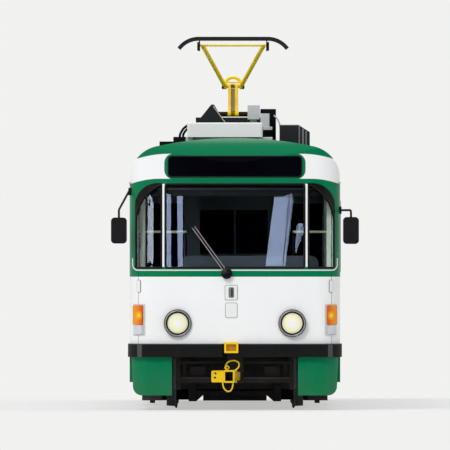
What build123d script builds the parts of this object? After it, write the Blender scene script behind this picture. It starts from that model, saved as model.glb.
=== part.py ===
from build123d import *
import os
from math import cos, sin, sqrt, radians, degrees, atan2

os.makedirs("parts", exist_ok=True)

# A single-ended tram on two four-wheel bogies, in millimetres.
# The front faces -Y, the doors are in the -X side and Z = 0 is the foot of the wheel flanges.

# Body form
body_half_width = 1250
skin_end = 6940
wall = 50
nose_bow = 6500
nose_corner = 330
skirt_foot = 175
side_foot = 330
tuck_head = 22
tuck_foot = 45
skirt_round = 105
waist = 1600
rake_shift = 190
rake_height = 1090
roof_top = 3229
roof_crown = 4411
roof_shoulder = 400
dome_radius = 430
cantrail = 2700
end_seam = 6420
floor_top = 900
deck = 40
bumper_foot = 630
bumper_head = 788

# Windows and doorways
pane = 8
glass_inset = 14
seat_gap = 0.5
window_width = 1130
window_pitch = 1290
window_foot = 1640
window_head = 2480
window_corner = 110
left_window_count = 9
cab_window_at = 6130
cab_window_width = 420
screen_foot = 1680
screen_head = 2688
screen_half = 1184
screen_arc_foot = 2230
screen_pillar = 849
pillar_half = 15
rear_window_foot = 1760
door_pitch = 5400
door_width = 1300
door_foot = 370
door_head = 2560

# Running gear
bogie_pitch = 3200
axle_pitch = 950
wheel_radius = 350
flange = 27
gauge_half = 717.5
axle_height = wheel_radius + flange

rake = Vector(0, rake_shift, rake_height)


def nose_outline(inset, forward=0):
    """Front half of the plan, drawn in by inset: straight sides, rounded corners, bowed nose."""
    half = body_half_width - inset
    bow = nose_bow - inset
    centre = nose_bow - skin_end - forward
    corner_y = centre - sqrt(bow**2 - half**2)
    with BuildSketch() as outline:
        with BuildLine():
            Polyline((-half, corner_y), (-half, 0), (half, 0), (half, corner_y))
            ThreePointArc((half, corner_y), (0, centre - bow), (-half, corner_y))
        make_face()
        fillet(outline.vertices().group_by(Axis.Y)[0], nose_corner - inset)
    return outline.sketch


def car_form(inset, foot):
    """Closed form of the whole body, drawn in by inset, from foot up to the roof."""
    half = body_half_width - inset
    top = roof_top - inset
    crown = roof_crown - inset
    shoulder = roof_top - roof_crown + sqrt(crown**2 - half**2)
    rake_y = inset - skin_end - 5
    top_y = rake_y + rake_shift * (top - waist) / rake_height
    with BuildPart() as form:
        with BuildSketch(Plane.XY.offset(foot)):
            add(nose_outline(inset))
        extrude(amount=waist - foot)
        with BuildSketch(Plane.XY.offset(waist)):
            add(nose_outline(inset))
        extrude(amount=rake.length * (roof_top + 50 - waist) / rake_height, dir=rake.normalized())
        with BuildSketch(Plane.YZ) as side:
            with BuildLine():
                Polyline((rake_y, waist), (rake_y, foot), (0, foot), (0, top), (top_y, top), close=False)
                Line((top_y, top), (rake_y, waist))
            make_face()
            fillet(side.vertices().sort_by_distance((top_y, top))[0], dome_radius - inset)
        extrude(amount=half + 10, both=True, mode=Mode.INTERSECT)
        with BuildSketch(Plane.XZ) as section:
            with BuildLine():
                Polyline((-half, shoulder), (-half, foot), (half, foot), (half, shoulder))
                ThreePointArc((half, shoulder), (0, top), (-half, shoulder))
            make_face()
            fillet(section.vertices().sort_by(Axis.Y)[-2:], roof_shoulder - inset)
        extrude(amount=skin_end + 10, both=True, mode=Mode.INTERSECT)
        mirror(about=Plane.XZ)
    return form.part


outer_form = car_form(0, skirt_foot)
with BuildPart() as shell:
    add(outer_form)
    add(car_form(wall, skirt_foot - 10), mode=Mode.SUBTRACT)



def skirt_form(inset, foot):
    """Limits of an end: narrower below the bumper, with rounded lower corners, and clear of it above."""
    half = body_half_width - inset
    edge = [(half + 10, roof_top + 50), (half + 10, bumper_foot), (half - tuck_head, bumper_foot),
            (half - tuck_foot, foot)]
    with BuildPart() as form:
        with BuildSketch(Plane.XZ) as section:
            with BuildLine():
                Polyline(*edge, *[(-x, z) for x, z in reversed(edge)], close=True)
            make_face()
            fillet(section.vertices().sort_by(Axis.Y)[:2], skirt_round - inset)
        extrude(amount=skin_end + 10, both=True)
    return form.part


with BuildPart() as end_hollow:
    add(car_form(wall, skirt_foot - 10))
    add(skirt_form(wall, skirt_foot - 10), mode=Mode.INTERSECT)

# The ends' skirt is set in behind the bumper and rounded at its lower corners.
with BuildPart() as end_shell:
    add(outer_form)
    add(skirt_form(0, skirt_foot), mode=Mode.INTERSECT)
    add(end_hollow.part, mode=Mode.SUBTRACT)

# Glass lies as a thin layer inside the skin, so that it follows the nose.
with BuildPart() as glass_layer:
    add(car_form(glass_inset, waist - 20))
    add(car_form(glass_inset + pane, waist - 30), mode=Mode.SUBTRACT)


def screen_outlines(gap, foot, half, centre_only=False):
    """Centre pane and two corner panes of an end, each drawn in by gap from its opening."""
    inner = screen_pillar - pillar_half - gap
    outer = screen_pillar + pillar_half + gap
    edge = half - gap
    with BuildSketch() as panes:
        with Locations((0, (foot + screen_head) / 2)):
            RectangleRounded(2 * inner, screen_head - foot - 2 * gap, 30)
        if not centre_only:
            with BuildLine():
                Polyline((edge, screen_arc_foot), (edge, foot + gap), (outer, foot + gap),
                         (outer, screen_head - gap))
                TangentArc((edge, screen_arc_foot), (outer, screen_head - gap), tangent=(0, 1))
            corner = make_face()
            mirror(corner, about=Plane.YZ)
    return panes.sketch

# Doorways, along Y, and the two leaf pairs in each: name, centre.
doorways = [("front_door", -door_pitch), ("middle_door", 0), ("rear_door", door_pitch)]

# Right windows lie between the doorways, left ones run the whole length.
bay_centre = door_pitch / 2
right_window_ys = [s * bay_centre + i * window_pitch for s in (-1, 1) for i in (-1, 0, 1)]
left_window_ys = [(i - (left_window_count - 1) / 2) * window_pitch for i in range(left_window_count)]
end_window_ys = [-cab_window_at, cab_window_at]

leaf_face = body_half_width - 14
leaf_thick = 32
leaf_mid = leaf_face - leaf_thick / 2
pivot_radius = 8
guide_radius = 6
pin_gap = 0.5
jamb_gap = 10
jamb_pivot = jamb_gap + 14
centre_gap = 6
leaf_foot = door_foot + 15
leaf_head = door_head - 15
guide_end = door_width / 2 - centre_gap - 14
fold_mid = (jamb_pivot + guide_end) / 2
fold_gap = 8
pin_reach = 20


def window_shapes(ys, width, gap):
    """Rounded windows of one width side by side in a wall, drawn in by gap."""
    with BuildSketch() as shapes:
        with Locations([(y, (window_foot + window_head) / 2) for y in ys]):
            RectangleRounded(width - 2 * gap, window_head - window_foot - 2 * gap, window_corner - gap)
    return shapes.sketch


def bogie_arches():
    """Openings in the skirt over each bogie."""
    with BuildSketch() as arches:
        for y in (-bogie_pitch, bogie_pitch):
            with Locations((y, side_foot)):
                RectangleRounded(2 * arch_half, 2 * (arch_head - side_foot), arch_corner)
    return arches.sketch


arch_half = 1480
arch_head = 775
arch_corner = 180


def wall_panel(side):
    """Side wall between the two ends, from its foot to the cantrail, with the bogie arches cut."""
    with BuildPart() as panel:
        add(shell.part)
        with BuildSketch(Plane.XZ):
            with Locations((side * body_half_width, (side_foot + cantrail) / 2)):
                Rectangle(body_half_width, cantrail - side_foot)
        extrude(amount=end_seam, both=True, mode=Mode.INTERSECT)
        with BuildSketch(Plane.YZ):
            add(bogie_arches())
        extrude(amount=side * 2 * body_half_width, mode=Mode.SUBTRACT)
    return panel.part


with BuildPart() as left_side_wall:
    add(wall_panel(1))
    with BuildSketch(Plane.YZ):
        add(window_shapes(left_window_ys, window_width, 0))
        add(window_shapes(end_window_ys, cab_window_width, 0))
    extrude(amount=2 * body_half_width, mode=Mode.SUBTRACT)

with BuildPart() as right_side_wall:
    add(wall_panel(-1))
    with BuildSketch(Plane.YZ):
        add(window_shapes(right_window_ys, window_width, 0))
        with Locations([(y, (door_foot + door_head) / 2) for name, y in doorways]):
            Rectangle(door_width, door_head - door_foot)
    extrude(amount=-2 * body_half_width, mode=Mode.SUBTRACT)
    # Bearings for the leaf pivots in sill and header, and the header's guide slots.
    with Locations([(-leaf_mid, y + s * (door_width / 2 - jamb_pivot), z)
                    for name, y in doorways for s in (-1, 1) for z in (door_foot, door_head)]):
        Cylinder(pivot_radius + pin_gap, 2 * pin_reach + 4, mode=Mode.SUBTRACT)
    slot = door_width - 2 * jamb_pivot - 100
    with Locations([(-leaf_mid, y, door_head) for name, y in doorways]):
        Box(2 * (guide_radius + pin_gap), slot, 2 * pin_reach + 4, mode=Mode.SUBTRACT)

with BuildPart() as roof:
    add(shell.part)
    with BuildSketch(Plane.XZ):
        with Locations((0, cantrail + 500)):
            Rectangle(3 * body_half_width, 1000)
    extrude(amount=end_seam, both=True, mode=Mode.INTERSECT)

# Both ends are one moulding each, open low in the middle for the coupler.
end_open_half = 747
end_open_head = 700
skirt_corner = 60
display_half = 790
display_foot = 2766
display_head = 3010
lamp_x = 679
lamp_z = 1031
lamp_radius = 160
tail_x = 800
tail_radius = 75
tail_zs = [960, 1160]


def end_moulding(sign):
    """Moulded end from the skirt to the roof dome, split from the walls at the end seam."""
    with BuildPart() as end:
        add(end_shell.part)
        with BuildSketch(Plane.YZ):
            with Locations((sign * (end_seam + 500), roof_top / 2)):
                Rectangle(1000, 2 * roof_top)
        extrude(amount=2 * body_half_width, both=True, mode=Mode.INTERSECT)
        with BuildSketch(Plane.XZ):
            with Locations((0, skirt_foot - 100)):
                RectangleRounded(2 * end_open_half, 2 * (end_open_head - skirt_foot + 100), skirt_corner)
        extrude(amount=-sign * 2 * skin_end, mode=Mode.SUBTRACT)
    return end.part


# Wiper: it turns on a spindle below the windscreen, in a plane just ahead of the glass.
rake_angle = degrees(atan2(rake_shift, rake_height))
wiper_x = -97
wiper_z = 1615
wiper_y = (wiper_z - waist) * rake_shift / rake_height - skin_end
wiper_lean = 35.5
wiper_arm = 690
wiper_reach = 860
blade_length = 620
blade_clear = 14
spindle = 12
wiper_plane = Plane(origin=(wiper_x, wiper_y, wiper_z), x_dir=(1, 0, 0),
                    z_dir=(0, -cos(radians(rake_angle)), sin(radians(rake_angle))))

with BuildPart() as front_end:
    add(end_moulding(-1))
    with BuildSketch(Plane.XZ):
        add(screen_outlines(0, screen_foot, screen_half))
        with Locations((0, (display_foot + display_head) / 2)):
            RectangleRounded(2 * display_half, display_head - display_foot, 40)
        with Locations((-lamp_x, lamp_z), (lamp_x, lamp_z)):
            Circle(lamp_radius + seat_gap)
    extrude(amount=2 * skin_end, mode=Mode.SUBTRACT)
    with BuildSketch(wiper_plane.offset(-100)):
        Circle(spindle + pin_gap)
    extrude(amount=200, mode=Mode.SUBTRACT)

with BuildPart() as rear_end:
    add(end_moulding(1))
    with BuildSketch(Plane.XZ):
        add(screen_outlines(0, rear_window_foot, screen_half))
        with Locations([(s * tail_x, z) for s in (-1, 1) for z in tail_zs]):
            Circle(tail_radius + seat_gap)
    extrude(amount=-2 * skin_end, mode=Mode.SUBTRACT)


def end_glass(sign, foot, half):
    """Centre pane and corner panes of one end."""
    with BuildPart() as glass:
        add(glass_layer.part)
        with BuildSketch(Plane.XZ.offset(-sign * (end_seam + 5))):
            add(screen_outlines(seat_gap, foot, half))
        extrude(amount=-sign * skin_end, mode=Mode.INTERSECT)
    return glass.part


with BuildPart() as windscreen:
    add(end_glass(-1, screen_foot, screen_half))

with BuildPart() as rear_window:
    add(end_glass(1, rear_window_foot, screen_half))

glass_x = body_half_width - glass_inset
with BuildPart() as left_windows:
    with BuildSketch(Plane.YZ.offset(glass_x - pane)):
        add(window_shapes(left_window_ys, window_width, seat_gap))
        add(window_shapes(end_window_ys, cab_window_width, seat_gap))
    extrude(amount=pane)

with BuildPart() as right_windows:
    with BuildSketch(Plane.YZ.offset(-glass_x)):
        add(window_shapes(right_window_ys, window_width, seat_gap))
    extrude(amount=pane)

# Bumpers wrap round the nose, with a gap in the middle for the towing socket.
bumper_out = 20
bumper_forward = 60 - bumper_out
socket_x = -44
socket_gap = 206


def bumper_band(sign):
    """Band round one end, standing out from the skin and running back along the corners."""
    with BuildPart() as band:
        with BuildSketch(Plane.XY.offset(bumper_foot)):
            add(nose_outline(-bumper_out, bumper_forward))
            add(nose_outline(0), mode=Mode.SUBTRACT)
            with Locations((0, -end_seam / 2)):
                Rectangle(3 * body_half_width, end_seam, mode=Mode.SUBTRACT)
            with Locations((socket_x, -skin_end - bumper_forward)):
                Rectangle(socket_gap, 4 * bumper_forward, mode=Mode.SUBTRACT)
        extrude(amount=bumper_head - bumper_foot)
        fillet(band.edges().filter_by(Axis.Z).group_by(Axis.Y)[-1], 6)
    return band.part if sign < 0 else band.part.mirror(Plane.XZ)


with BuildPart() as front_bumper:
    add(bumper_band(-1))

with BuildPart() as rear_bumper:
    add(bumper_band(1))

# The towing sockets are square frames on the skin, each in its bumper's gap.
socket_z = 742
socket_frame = (167, 128)
socket_wall = 24
socket_out = 50

with BuildPart() as bumper_sockets:
    with BuildSketch(Plane.XZ.offset(skin_end - 30)):
        with Locations((socket_x, socket_z)):
            RectangleRounded(*socket_frame, 10)
            Rectangle(*[side - 2 * socket_wall for side in socket_frame], mode=Mode.SUBTRACT)
    extrude(amount=30 + socket_out)
    add(outer_form, mode=Mode.SUBTRACT)
    mirror(about=Plane.XZ)

# Floor: a deck with a stepped well inside each doorway.
well_half = door_width / 2 + 20
sheet = 20
low_tread_in = 840
mid_tread_in = 560
mid_tread = 635
inner_face = body_half_width - wall
sill_top = 860
sill_foot = 765

with BuildPart() as floor:
    add(car_form(wall, floor_top - deck))
    with BuildSketch(Plane.XY.offset(floor_top - deck)):
        Rectangle(3 * body_half_width, 2 * skin_end + 10)
    extrude(amount=deck, mode=Mode.INTERSECT)
    with BuildSketch(Plane.XY.offset(floor_top - deck)):
        with Locations([(-(inner_face + mid_tread_in) / 2, y) for name, y in doorways]):
            Rectangle(inner_face - mid_tread_in, 2 * well_half)
    extrude(amount=deck, mode=Mode.SUBTRACT)

with BuildPart() as step_wells:
    for name, y in doorways:
        with BuildSketch(Plane.XZ.offset(-y - well_half)):
            with BuildLine():
                Polyline((-inner_face, door_foot), (-inner_face, door_foot - sheet),
                         (sheet - low_tread_in, door_foot - sheet), (sheet - low_tread_in, mid_tread - sheet),
                         (-mid_tread_in, mid_tread - sheet), (-mid_tread_in, floor_top),
                         (-mid_tread_in - sheet, floor_top), (-mid_tread_in - sheet, mid_tread),
                         (-low_tread_in, mid_tread), (-low_tread_in, door_foot), close=True)
            make_face()
        extrude(amount=2 * well_half)
        for s in (-1, 1):
            with BuildSketch(Plane.XZ.offset(-y - s * (well_half - sheet / 2) - sheet / 2)):
                with BuildLine():
                    Polyline((-inner_face, floor_top), (-inner_face, door_foot - sheet),
                             (sheet - low_tread_in, door_foot - sheet), (sheet - low_tread_in, mid_tread - sheet),
                             (-mid_tread_in, mid_tread - sheet), (-mid_tread_in, floor_top), close=True)
                make_face()
            extrude(amount=sheet)

# Underframe: long sills, cross-members, bolsters with king pins, solebars and headstocks.
sill_x = 440
sill_width = 110
member_width = 70
king_pin = 70
pivot_foot = 560
centre_plate = 170
plate_top = 700
seat = 0.3
member_ys = [-6300, -4550, -1600, -800, 800, 1600, 4550, 6300]
sole_width = 60
headstock_at = 6420
headstock_half = 800

coupler_pivot = 6530
coupler_z = 400
drawbar_height = 100
drawbar_width = 96
fork_gap = 1.5
fork_foot = coupler_z - drawbar_height / 2 - fork_gap - 30
coupler_pin = 25
pad_x = 1110
pad_width = 160
pad_depth = 25
coupler_bore = coupler_pin + pin_gap

with BuildPart() as underframe:
    with BuildSketch(Plane.XY.offset(sill_foot)):
        for s in (-1, 1):
            with Locations((s * sill_x, 0)):
                Rectangle(sill_width, 2 * headstock_at)
            with Locations((s * (inner_face - sole_width / 2), 0)):
                Rectangle(sole_width, 2 * end_seam)
        with Locations([(0, y) for y in member_ys]):
            Rectangle(2 * inner_face, member_width)
        with Locations((0, -bogie_pitch), (0, bogie_pitch)):
            Rectangle(2 * inner_face, 320)
        with Locations((0, -headstock_at), (0, headstock_at)):
            Rectangle(2 * headstock_half, 90)
        with Locations([(-(inner_face + mid_tread_in) / 2, y) for name, y in doorways]):
            Rectangle(inner_face - mid_tread_in, 2 * well_half, mode=Mode.SUBTRACT)
    extrude(amount=sill_top - sill_foot)
    for y in (-bogie_pitch, bogie_pitch):
        with BuildSketch(Plane.XY.offset(sill_foot)):
            with Locations((0, y)):
                Circle(centre_plate)
        extrude(amount=plate_top + seat - sill_foot)
        with BuildSketch(Plane.XY.offset(sill_foot)):
            with Locations((0, y)):
                Circle(king_pin)
        extrude(amount=pivot_foot - sill_foot)
        with BuildSketch(Plane.XY.offset(sill_foot - pad_depth)):
            with Locations((-pad_x, y), (pad_x, y)):
                Rectangle(pad_width, pad_width)
        extrude(amount=pad_depth)
    # Coupler pockets: a forked hanger under each headstock, with the drawbar's upright pin.
    for s in (-1, 1):
        with BuildSketch(Plane.XY.offset(fork_foot)):
            with Locations((0, s * (coupler_pivot - 45))):
                RectangleRounded(200, 210, 20)
        extrude(amount=sill_foot - fork_foot)
        with BuildSketch(Plane.XY.offset(coupler_z - drawbar_height / 2 - fork_gap)):
            with Locations((0, s * (coupler_pivot + 50))):
                Rectangle(260, 250)
        extrude(amount=drawbar_height + 2 * fork_gap, mode=Mode.SUBTRACT)
        with BuildSketch(Plane.XY.offset(fork_foot)):
            with Locations((0, s * coupler_pivot)):
                Circle(coupler_pin)
        extrude(amount=sill_foot - fork_foot)

# Boxes hung between the bogies: the columns are x from, x to, y from, y to, foot.
box_table = [
    (520, 1120, -1590, -800, 380),
    (520, 1120, -780, 780, 420),
    (520, 1120, 800, 1590, 360),
    (-1120, -520, -1590, -800, 400),
    (-1120, -520, 800, 1590, 360),
    (-330, 330, -790, 790, 450),
]

with BuildPart() as equipment_boxes:
    for x0, x1, y0, y1, foot in box_table:
        with BuildSketch(Plane.XY.offset(foot)):
            with Locations(((x0 + x1) / 2, (y0 + y1) / 2)):
                RectangleRounded(x1 - x0, y1 - y0, 30)
        extrude(amount=sill_foot - foot)

# Cab: a cranked partition with windows, the desk under the windscreen and the driver's seat.
partition_thick = 30
partition_at = 5640
vestibule_at = door_pitch + well_half + partition_thick
vestibule_in = 420
cab_door_width = 380
cab_door_head = 2700

# Partition windows: the columns are middle, width, foot, head.
cab_window_table = [
    (-820, 420, 1700, 2450),
    (-214, 400, 1855, 2374),
    (200, 376, 1855, 2374),
    (830, 420, 1700, 2450),
]

with BuildPart() as cab_partition:
    add(car_form(wall, floor_top))
    with BuildSketch(Plane.XY.offset(floor_top)):
        with BuildLine():
            Polyline((-1300, -vestibule_at), (-vestibule_in, -vestibule_at), (-vestibule_in, -partition_at),
                     (1300, -partition_at), (1300, partition_thick - partition_at),
                     (-vestibule_in - partition_thick, partition_thick - partition_at),
                     (-vestibule_in - partition_thick, partition_thick - vestibule_at),
                     (-1300, partition_thick - vestibule_at), close=True)
        make_face()
    extrude(amount=roof_top - floor_top, mode=Mode.INTERSECT)
    for x, width, foot, head in cab_window_table:
        with BuildSketch(Plane.XZ):
            with Locations((x, (foot + head) / 2)):
                RectangleRounded(width, head - foot, 20)
        extrude(amount=skin_end, mode=Mode.SUBTRACT)
    with BuildSketch(Plane.YZ.offset(-vestibule_in)):
        with Locations((-(vestibule_at + partition_at) / 2, (floor_top + cab_door_head) / 2)):
            Rectangle(cab_door_width, cab_door_head - floor_top)
    extrude(amount=-2 * partition_thick, mode=Mode.SUBTRACT)

desk_top = 1560
desk_back = 6330
cowl_xs = (-640, 990)
cowl_head = 1830
cowl_corner = 90
with BuildPart() as driver_desk:
    add(car_form(wall + 3, floor_top))
    with BuildSketch(Plane.YZ):
        with BuildLine():
            Polyline((-skin_end, floor_top), (-6560, floor_top), (-6560, 1380), (-desk_back, 1440),
                     (-desk_back, 1500), (-6480, desk_top), (-6560, desk_top + 60), (-skin_end, desk_top + 60),
                     close=True)
        make_face()
    extrude(amount=1110, both=True, mode=Mode.INTERSECT)
    with BuildSketch(Plane.XZ.offset(desk_back + 130)):
        with Locations((sum(cowl_xs) / 2, (desk_top + cowl_head) / 2 - cowl_corner / 2)):
            RectangleRounded(cowl_xs[1] - cowl_xs[0], cowl_head - desk_top + cowl_corner, cowl_corner)
    extrude(amount=190)

# Seats: a moulded shell on a foot, facing the front.
seat_width = 430
seat_deep = 420
cushion_top = 440


def seat_body(x, y):
    """One seat on its foot, with its cushion's front edge at y."""
    with BuildPart() as body:
        with BuildSketch(Plane.YZ.offset(x - seat_width / 2)) as profile:
            with BuildLine():
                Polyline((y, floor_top + cushion_top - 70), (y, floor_top + cushion_top),
                         (y + seat_deep, floor_top + cushion_top - 30), (y + seat_deep + 90, floor_top + 940),
                         (y + seat_deep + 130, floor_top + 930), (y + seat_deep + 40, floor_top + 370),
                         close=True)
            make_face()
            fillet(profile.vertices(), 18)
        extrude(amount=seat_width)
        with BuildSketch(Plane.XY.offset(floor_top)):
            with Locations((x, y + seat_deep / 2 + 30)):
                RectangleRounded(seat_width - 150, seat_deep - 110, 30)
        extrude(amount=cushion_top - 40)
    return body.part


seat_x = inner_face - 30 - seat_width / 2
seat_pitch = 800
left_seat_ys = [-5280 + i * seat_pitch for i in range(14)]
right_seat_ys = [s * bay_centre - 1.5 * seat_pitch - 270 + i * seat_pitch for s in (-1, 1) for i in range(4)]

with BuildPart() as left_seats:
    for y in left_seat_ys:
        add(seat_body(seat_x, y))

with BuildPart() as right_seats:
    for y in right_seat_ys:
        add(seat_body(-seat_x, y))

with BuildPart() as driver_seat:
    add(seat_body(0, -6200))

# Grab poles from floor to ceiling beside the doorways: columns x, y.
pole_radius = 17
pole_table = [(-430, y + s * 700) for name, y in doorways[1:] for s in (-1, 1)] + [(-430, 700 - door_pitch)]

with BuildPart() as grab_poles:
    add(car_form(wall, floor_top))
    with BuildSketch(Plane.XY.offset(floor_top)):
        with Locations(pole_table):
            Circle(pole_radius)
    extrude(amount=roof_top - floor_top, mode=Mode.INTERSECT)

# Door leaves. Each doorway holds two pairs that fold inward: an outer leaf turns on pivots at
# the jamb, and an inner leaf hinged to it is guided by a pin that runs along the header.
knuckle_radius = 7
knuckle_out = 4
knuckle_length = 60
outer_knuckles = [700, 1700]
inner_knuckles = [761, 1761]
pane_foot = 1120
pane_head = 2440
stile = 42


def leaf(y0, y1, knuckle_y, knuckles, pin_y, pin_zs, radius):
    """One leaf between y0 and y1 from its jamb, with knuckles, pins and its pane."""
    with BuildPart() as body:
        with BuildSketch(Plane.YZ.offset(-leaf_face)):
            with Locations(((y0 + y1) / 2, (leaf_foot + leaf_head) / 2)):
                Rectangle(y1 - y0, leaf_head - leaf_foot)
            with Locations(((y0 + y1) / 2, (pane_foot + pane_head) / 2)):
                RectangleRounded(y1 - y0 - 2 * stile, pane_head - pane_foot, 40, mode=Mode.SUBTRACT)
        extrude(amount=leaf_thick)
        toward = 1 if (y0 + y1) / 2 < knuckle_y else -1
        for z in knuckles:
            with BuildSketch(Plane.XY.offset(z)):
                with Locations((-leaf_face - knuckle_out, knuckle_y)):
                    Circle(knuckle_radius)
                with Locations((-leaf_face - knuckle_out + 3, knuckle_y - toward * fold_gap)):
                    Rectangle(8, 2 * fold_gap)
            extrude(amount=knuckle_length)
        with Locations([(-leaf_mid, pin_y, z) for z in pin_zs]):
            Cylinder(radius, 2 * (pin_reach + 15 - 3))
        with BuildSketch(Plane.YZ.offset(-leaf_mid - pane / 2)):
            with Locations(((y0 + y1) / 2, (pane_foot + pane_head) / 2)):
                RectangleRounded(y1 - y0 - 2 * stile - 2 * seat_gap, pane_head - pane_foot - 2 * seat_gap,
                                 40 - seat_gap)
        extrude(amount=pane)
    return body.part


outer_leaf = leaf(jamb_gap, fold_mid - fold_gap, fold_mid, outer_knuckles, jamb_pivot,
                  (leaf_foot, leaf_head), pivot_radius)
inner_leaf = leaf(fold_mid + fold_gap, door_width / 2 - centre_gap, fold_mid, inner_knuckles, guide_end,
                  (leaf_head,), guide_radius)

# Leaves by doorway and pair: the aft pair mirrors the fore pair.
leaves = {}
for doorway, y in doorways:
    for pair, s in (("fore", 1), ("aft", -1)):
        for role, form in (("outer", outer_leaf), ("inner", inner_leaf)):
            placed = form if s > 0 else form.mirror(Plane.XZ)
            leaves[f"{doorway}_{pair}_{role}_leaf"] = placed.moved(Location((0, y - s * door_width / 2, 0)))

# Bogies
beam_in = 890
beam_out = 1040
beam_foot = 470
beam_head = 600
beam_half = 1130
box_radius = 105
journal_radius = 60
journal_gap = 0.5
axle_radius = 75
transom_foot = 590
transom_y = 210
transom_width = 130
gear_x = 990
gear_y = 310
gear_foot = 89
nozzle_foot = 56
brake_x = gauge_half + 20
brake_width = 90
brake_foot = 40
brake_head = 150
brake_half = 330
motor_radius = 175
motor_half = 300
motor_x = 250
motor_z = 390
case_radius = 150
case_width = 200
shaft_radius = 35


def bogie_frame_form():
    """Frame of one bogie about its pivot: side beams with axle boxes, transoms and rail brakes."""
    with BuildPart() as frame:
        for s in (-1, 1):
            with BuildSketch(Plane.YZ.offset(s * (beam_in + beam_out) / 2)) as beam:
                with BuildLine():
                    Polyline((-beam_half, beam_foot + 40), (-axle_pitch + 150, beam_foot), (-420, beam_foot - 60),
                             (420, beam_foot - 60), (axle_pitch - 150, beam_foot), (beam_half, beam_foot + 40),
                             (beam_half, beam_head - 20), (axle_pitch - 200, beam_head), (300, beam_head),
                             (260, beam_head + 30), (-260, beam_head + 30), (-300, beam_head),
                             (200 - axle_pitch, beam_head), (-beam_half, beam_head - 20), close=True)
                make_face()
                for y in (-axle_pitch, axle_pitch):
                    with Locations((y, (beam_foot + axle_height) / 2 + 40)):
                        Rectangle(2 * box_radius, beam_foot - axle_height + 80)
                with Locations((-axle_pitch, axle_height), (axle_pitch, axle_height)):
                    Circle(box_radius)
            extrude(amount=(beam_out - beam_in) / 2, both=True)
        with BuildSketch(Plane.XY.offset(transom_foot)):
            with Locations((0, -transom_y), (0, transom_y)):
                Rectangle(2 * beam_out - 60, transom_width)
            Rectangle(2 * centre_plate + 120, 2 * transom_y)
        extrude(amount=plate_top - transom_foot)
        with BuildSketch(Plane.XY.offset(transom_foot - 20)):
            Circle(king_pin + pin_gap)
        extrude(amount=plate_top - transom_foot + 40, mode=Mode.SUBTRACT)
        for s in (-1, 1):
            with BuildSketch(Plane.XY.offset(brake_foot)):
                with Locations((s * brake_x, 0)):
                    Rectangle(brake_width, 2 * brake_half)
            extrude(amount=brake_head - brake_foot)
            with BuildSketch(Plane.XY.offset(brake_head)):
                with Locations((s * brake_x, -transom_y), (s * brake_x, transom_y)):
                    Rectangle(50, 70)
            extrude(amount=transom_foot - brake_head)
        # Brake gear boxes under the side beams, each with a nozzle: columns x size, y size, foot, head.
        for size_x, size_y, foot, head in [(249, 380, gear_foot, beam_foot - 50),
                                           (60, 60, nozzle_foot, gear_foot + 5)]:
            with BuildSketch(Plane.XY.offset(foot)):
                with Locations([(s * gear_x, t * gear_y) for s in (-1, 1) for t in (-1, 1)]):
                    RectangleRounded(size_x, size_y, 20)
            extrude(amount=head - foot)
        with Locations([(x, y, axle_height) for x in (-beam_in, beam_in) for y in (-axle_pitch, axle_pitch)]):
            Cylinder(journal_radius + journal_gap, 4 * (beam_out - beam_in), rotation=(0, 90, 0),
                     mode=Mode.SUBTRACT)
    return frame.part


def motor_form():
    """Two lengthwise motors of one bogie, each with its shaft and the gear case round its axle."""
    with BuildPart() as motors:
        for s in (-1, 1):
            with BuildSketch(Plane.XZ.offset(-motor_half)):
                with Locations((s * motor_x, motor_z)):
                    Circle(motor_radius)
            extrude(amount=2 * motor_half)
            with BuildSketch(Plane.XZ.offset(s * motor_half)):
                with Locations((s * motor_x, motor_z)):
                    Circle(shaft_radius)
            extrude(amount=s * (axle_pitch - case_radius - motor_half + 30))
            with BuildSketch(Plane.YZ.offset(s * motor_x - case_width / 2)):
                with Locations((-s * axle_pitch, axle_height)):
                    Circle(case_radius)
            extrude(amount=case_width)
            with BuildSketch(Plane.YZ.offset(s * motor_x - case_width)):
                with Locations((-s * axle_pitch, axle_height)):
                    Circle(axle_radius + pin_gap)
            extrude(amount=2 * case_width, mode=Mode.SUBTRACT)
            with BuildSketch(Plane.XY.offset(motor_z)):
                with Locations((s * motor_x, -transom_y), (s * motor_x, transom_y)):
                    Rectangle(160, 90)
            extrude(amount=transom_foot - motor_z)
    return motors.part


# Wheelset: axle, journals and both wheels turned as one. Columns are distance from the middle, radius.
flange_in = gauge_half - 28
tread_out = gauge_half + 100
wheel_profile = [
    (0, 0), (0, axle_radius), (flange_in - 30, axle_radius), (flange_in - 30, 115), (flange_in + 35, 120),
    (flange_in + 50, 280), (flange_in, 290), (flange_in, wheel_radius + flange - 8),
    (flange_in + 8, wheel_radius + flange), (flange_in + 20, wheel_radius + flange - 4),
    (flange_in + 34, wheel_radius + 2), (tread_out, wheel_radius - 3), (tread_out, 290), (tread_out - 45, 280),
    (tread_out - 35, 120), (tread_out, 115), (tread_out, journal_radius), (beam_out - 15, journal_radius),
    (beam_out - 15, 0),
]

with BuildPart() as wheelset:
    with BuildSketch(Plane.XZ):
        with BuildLine():
            Polyline(*wheel_profile, close=True)
        make_face()
    revolve(axis=Axis.X)
    mirror(about=Plane.YZ)

bogie_frame = bogie_frame_form()
bogie_motors = motor_form()
wheelset_form = wheelset.part.moved(Location((0, 0, axle_height)))

# Lamps
rim_back = 6872
rim_front = 6942
lens_radius = 124
tail_back = 6853


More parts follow.
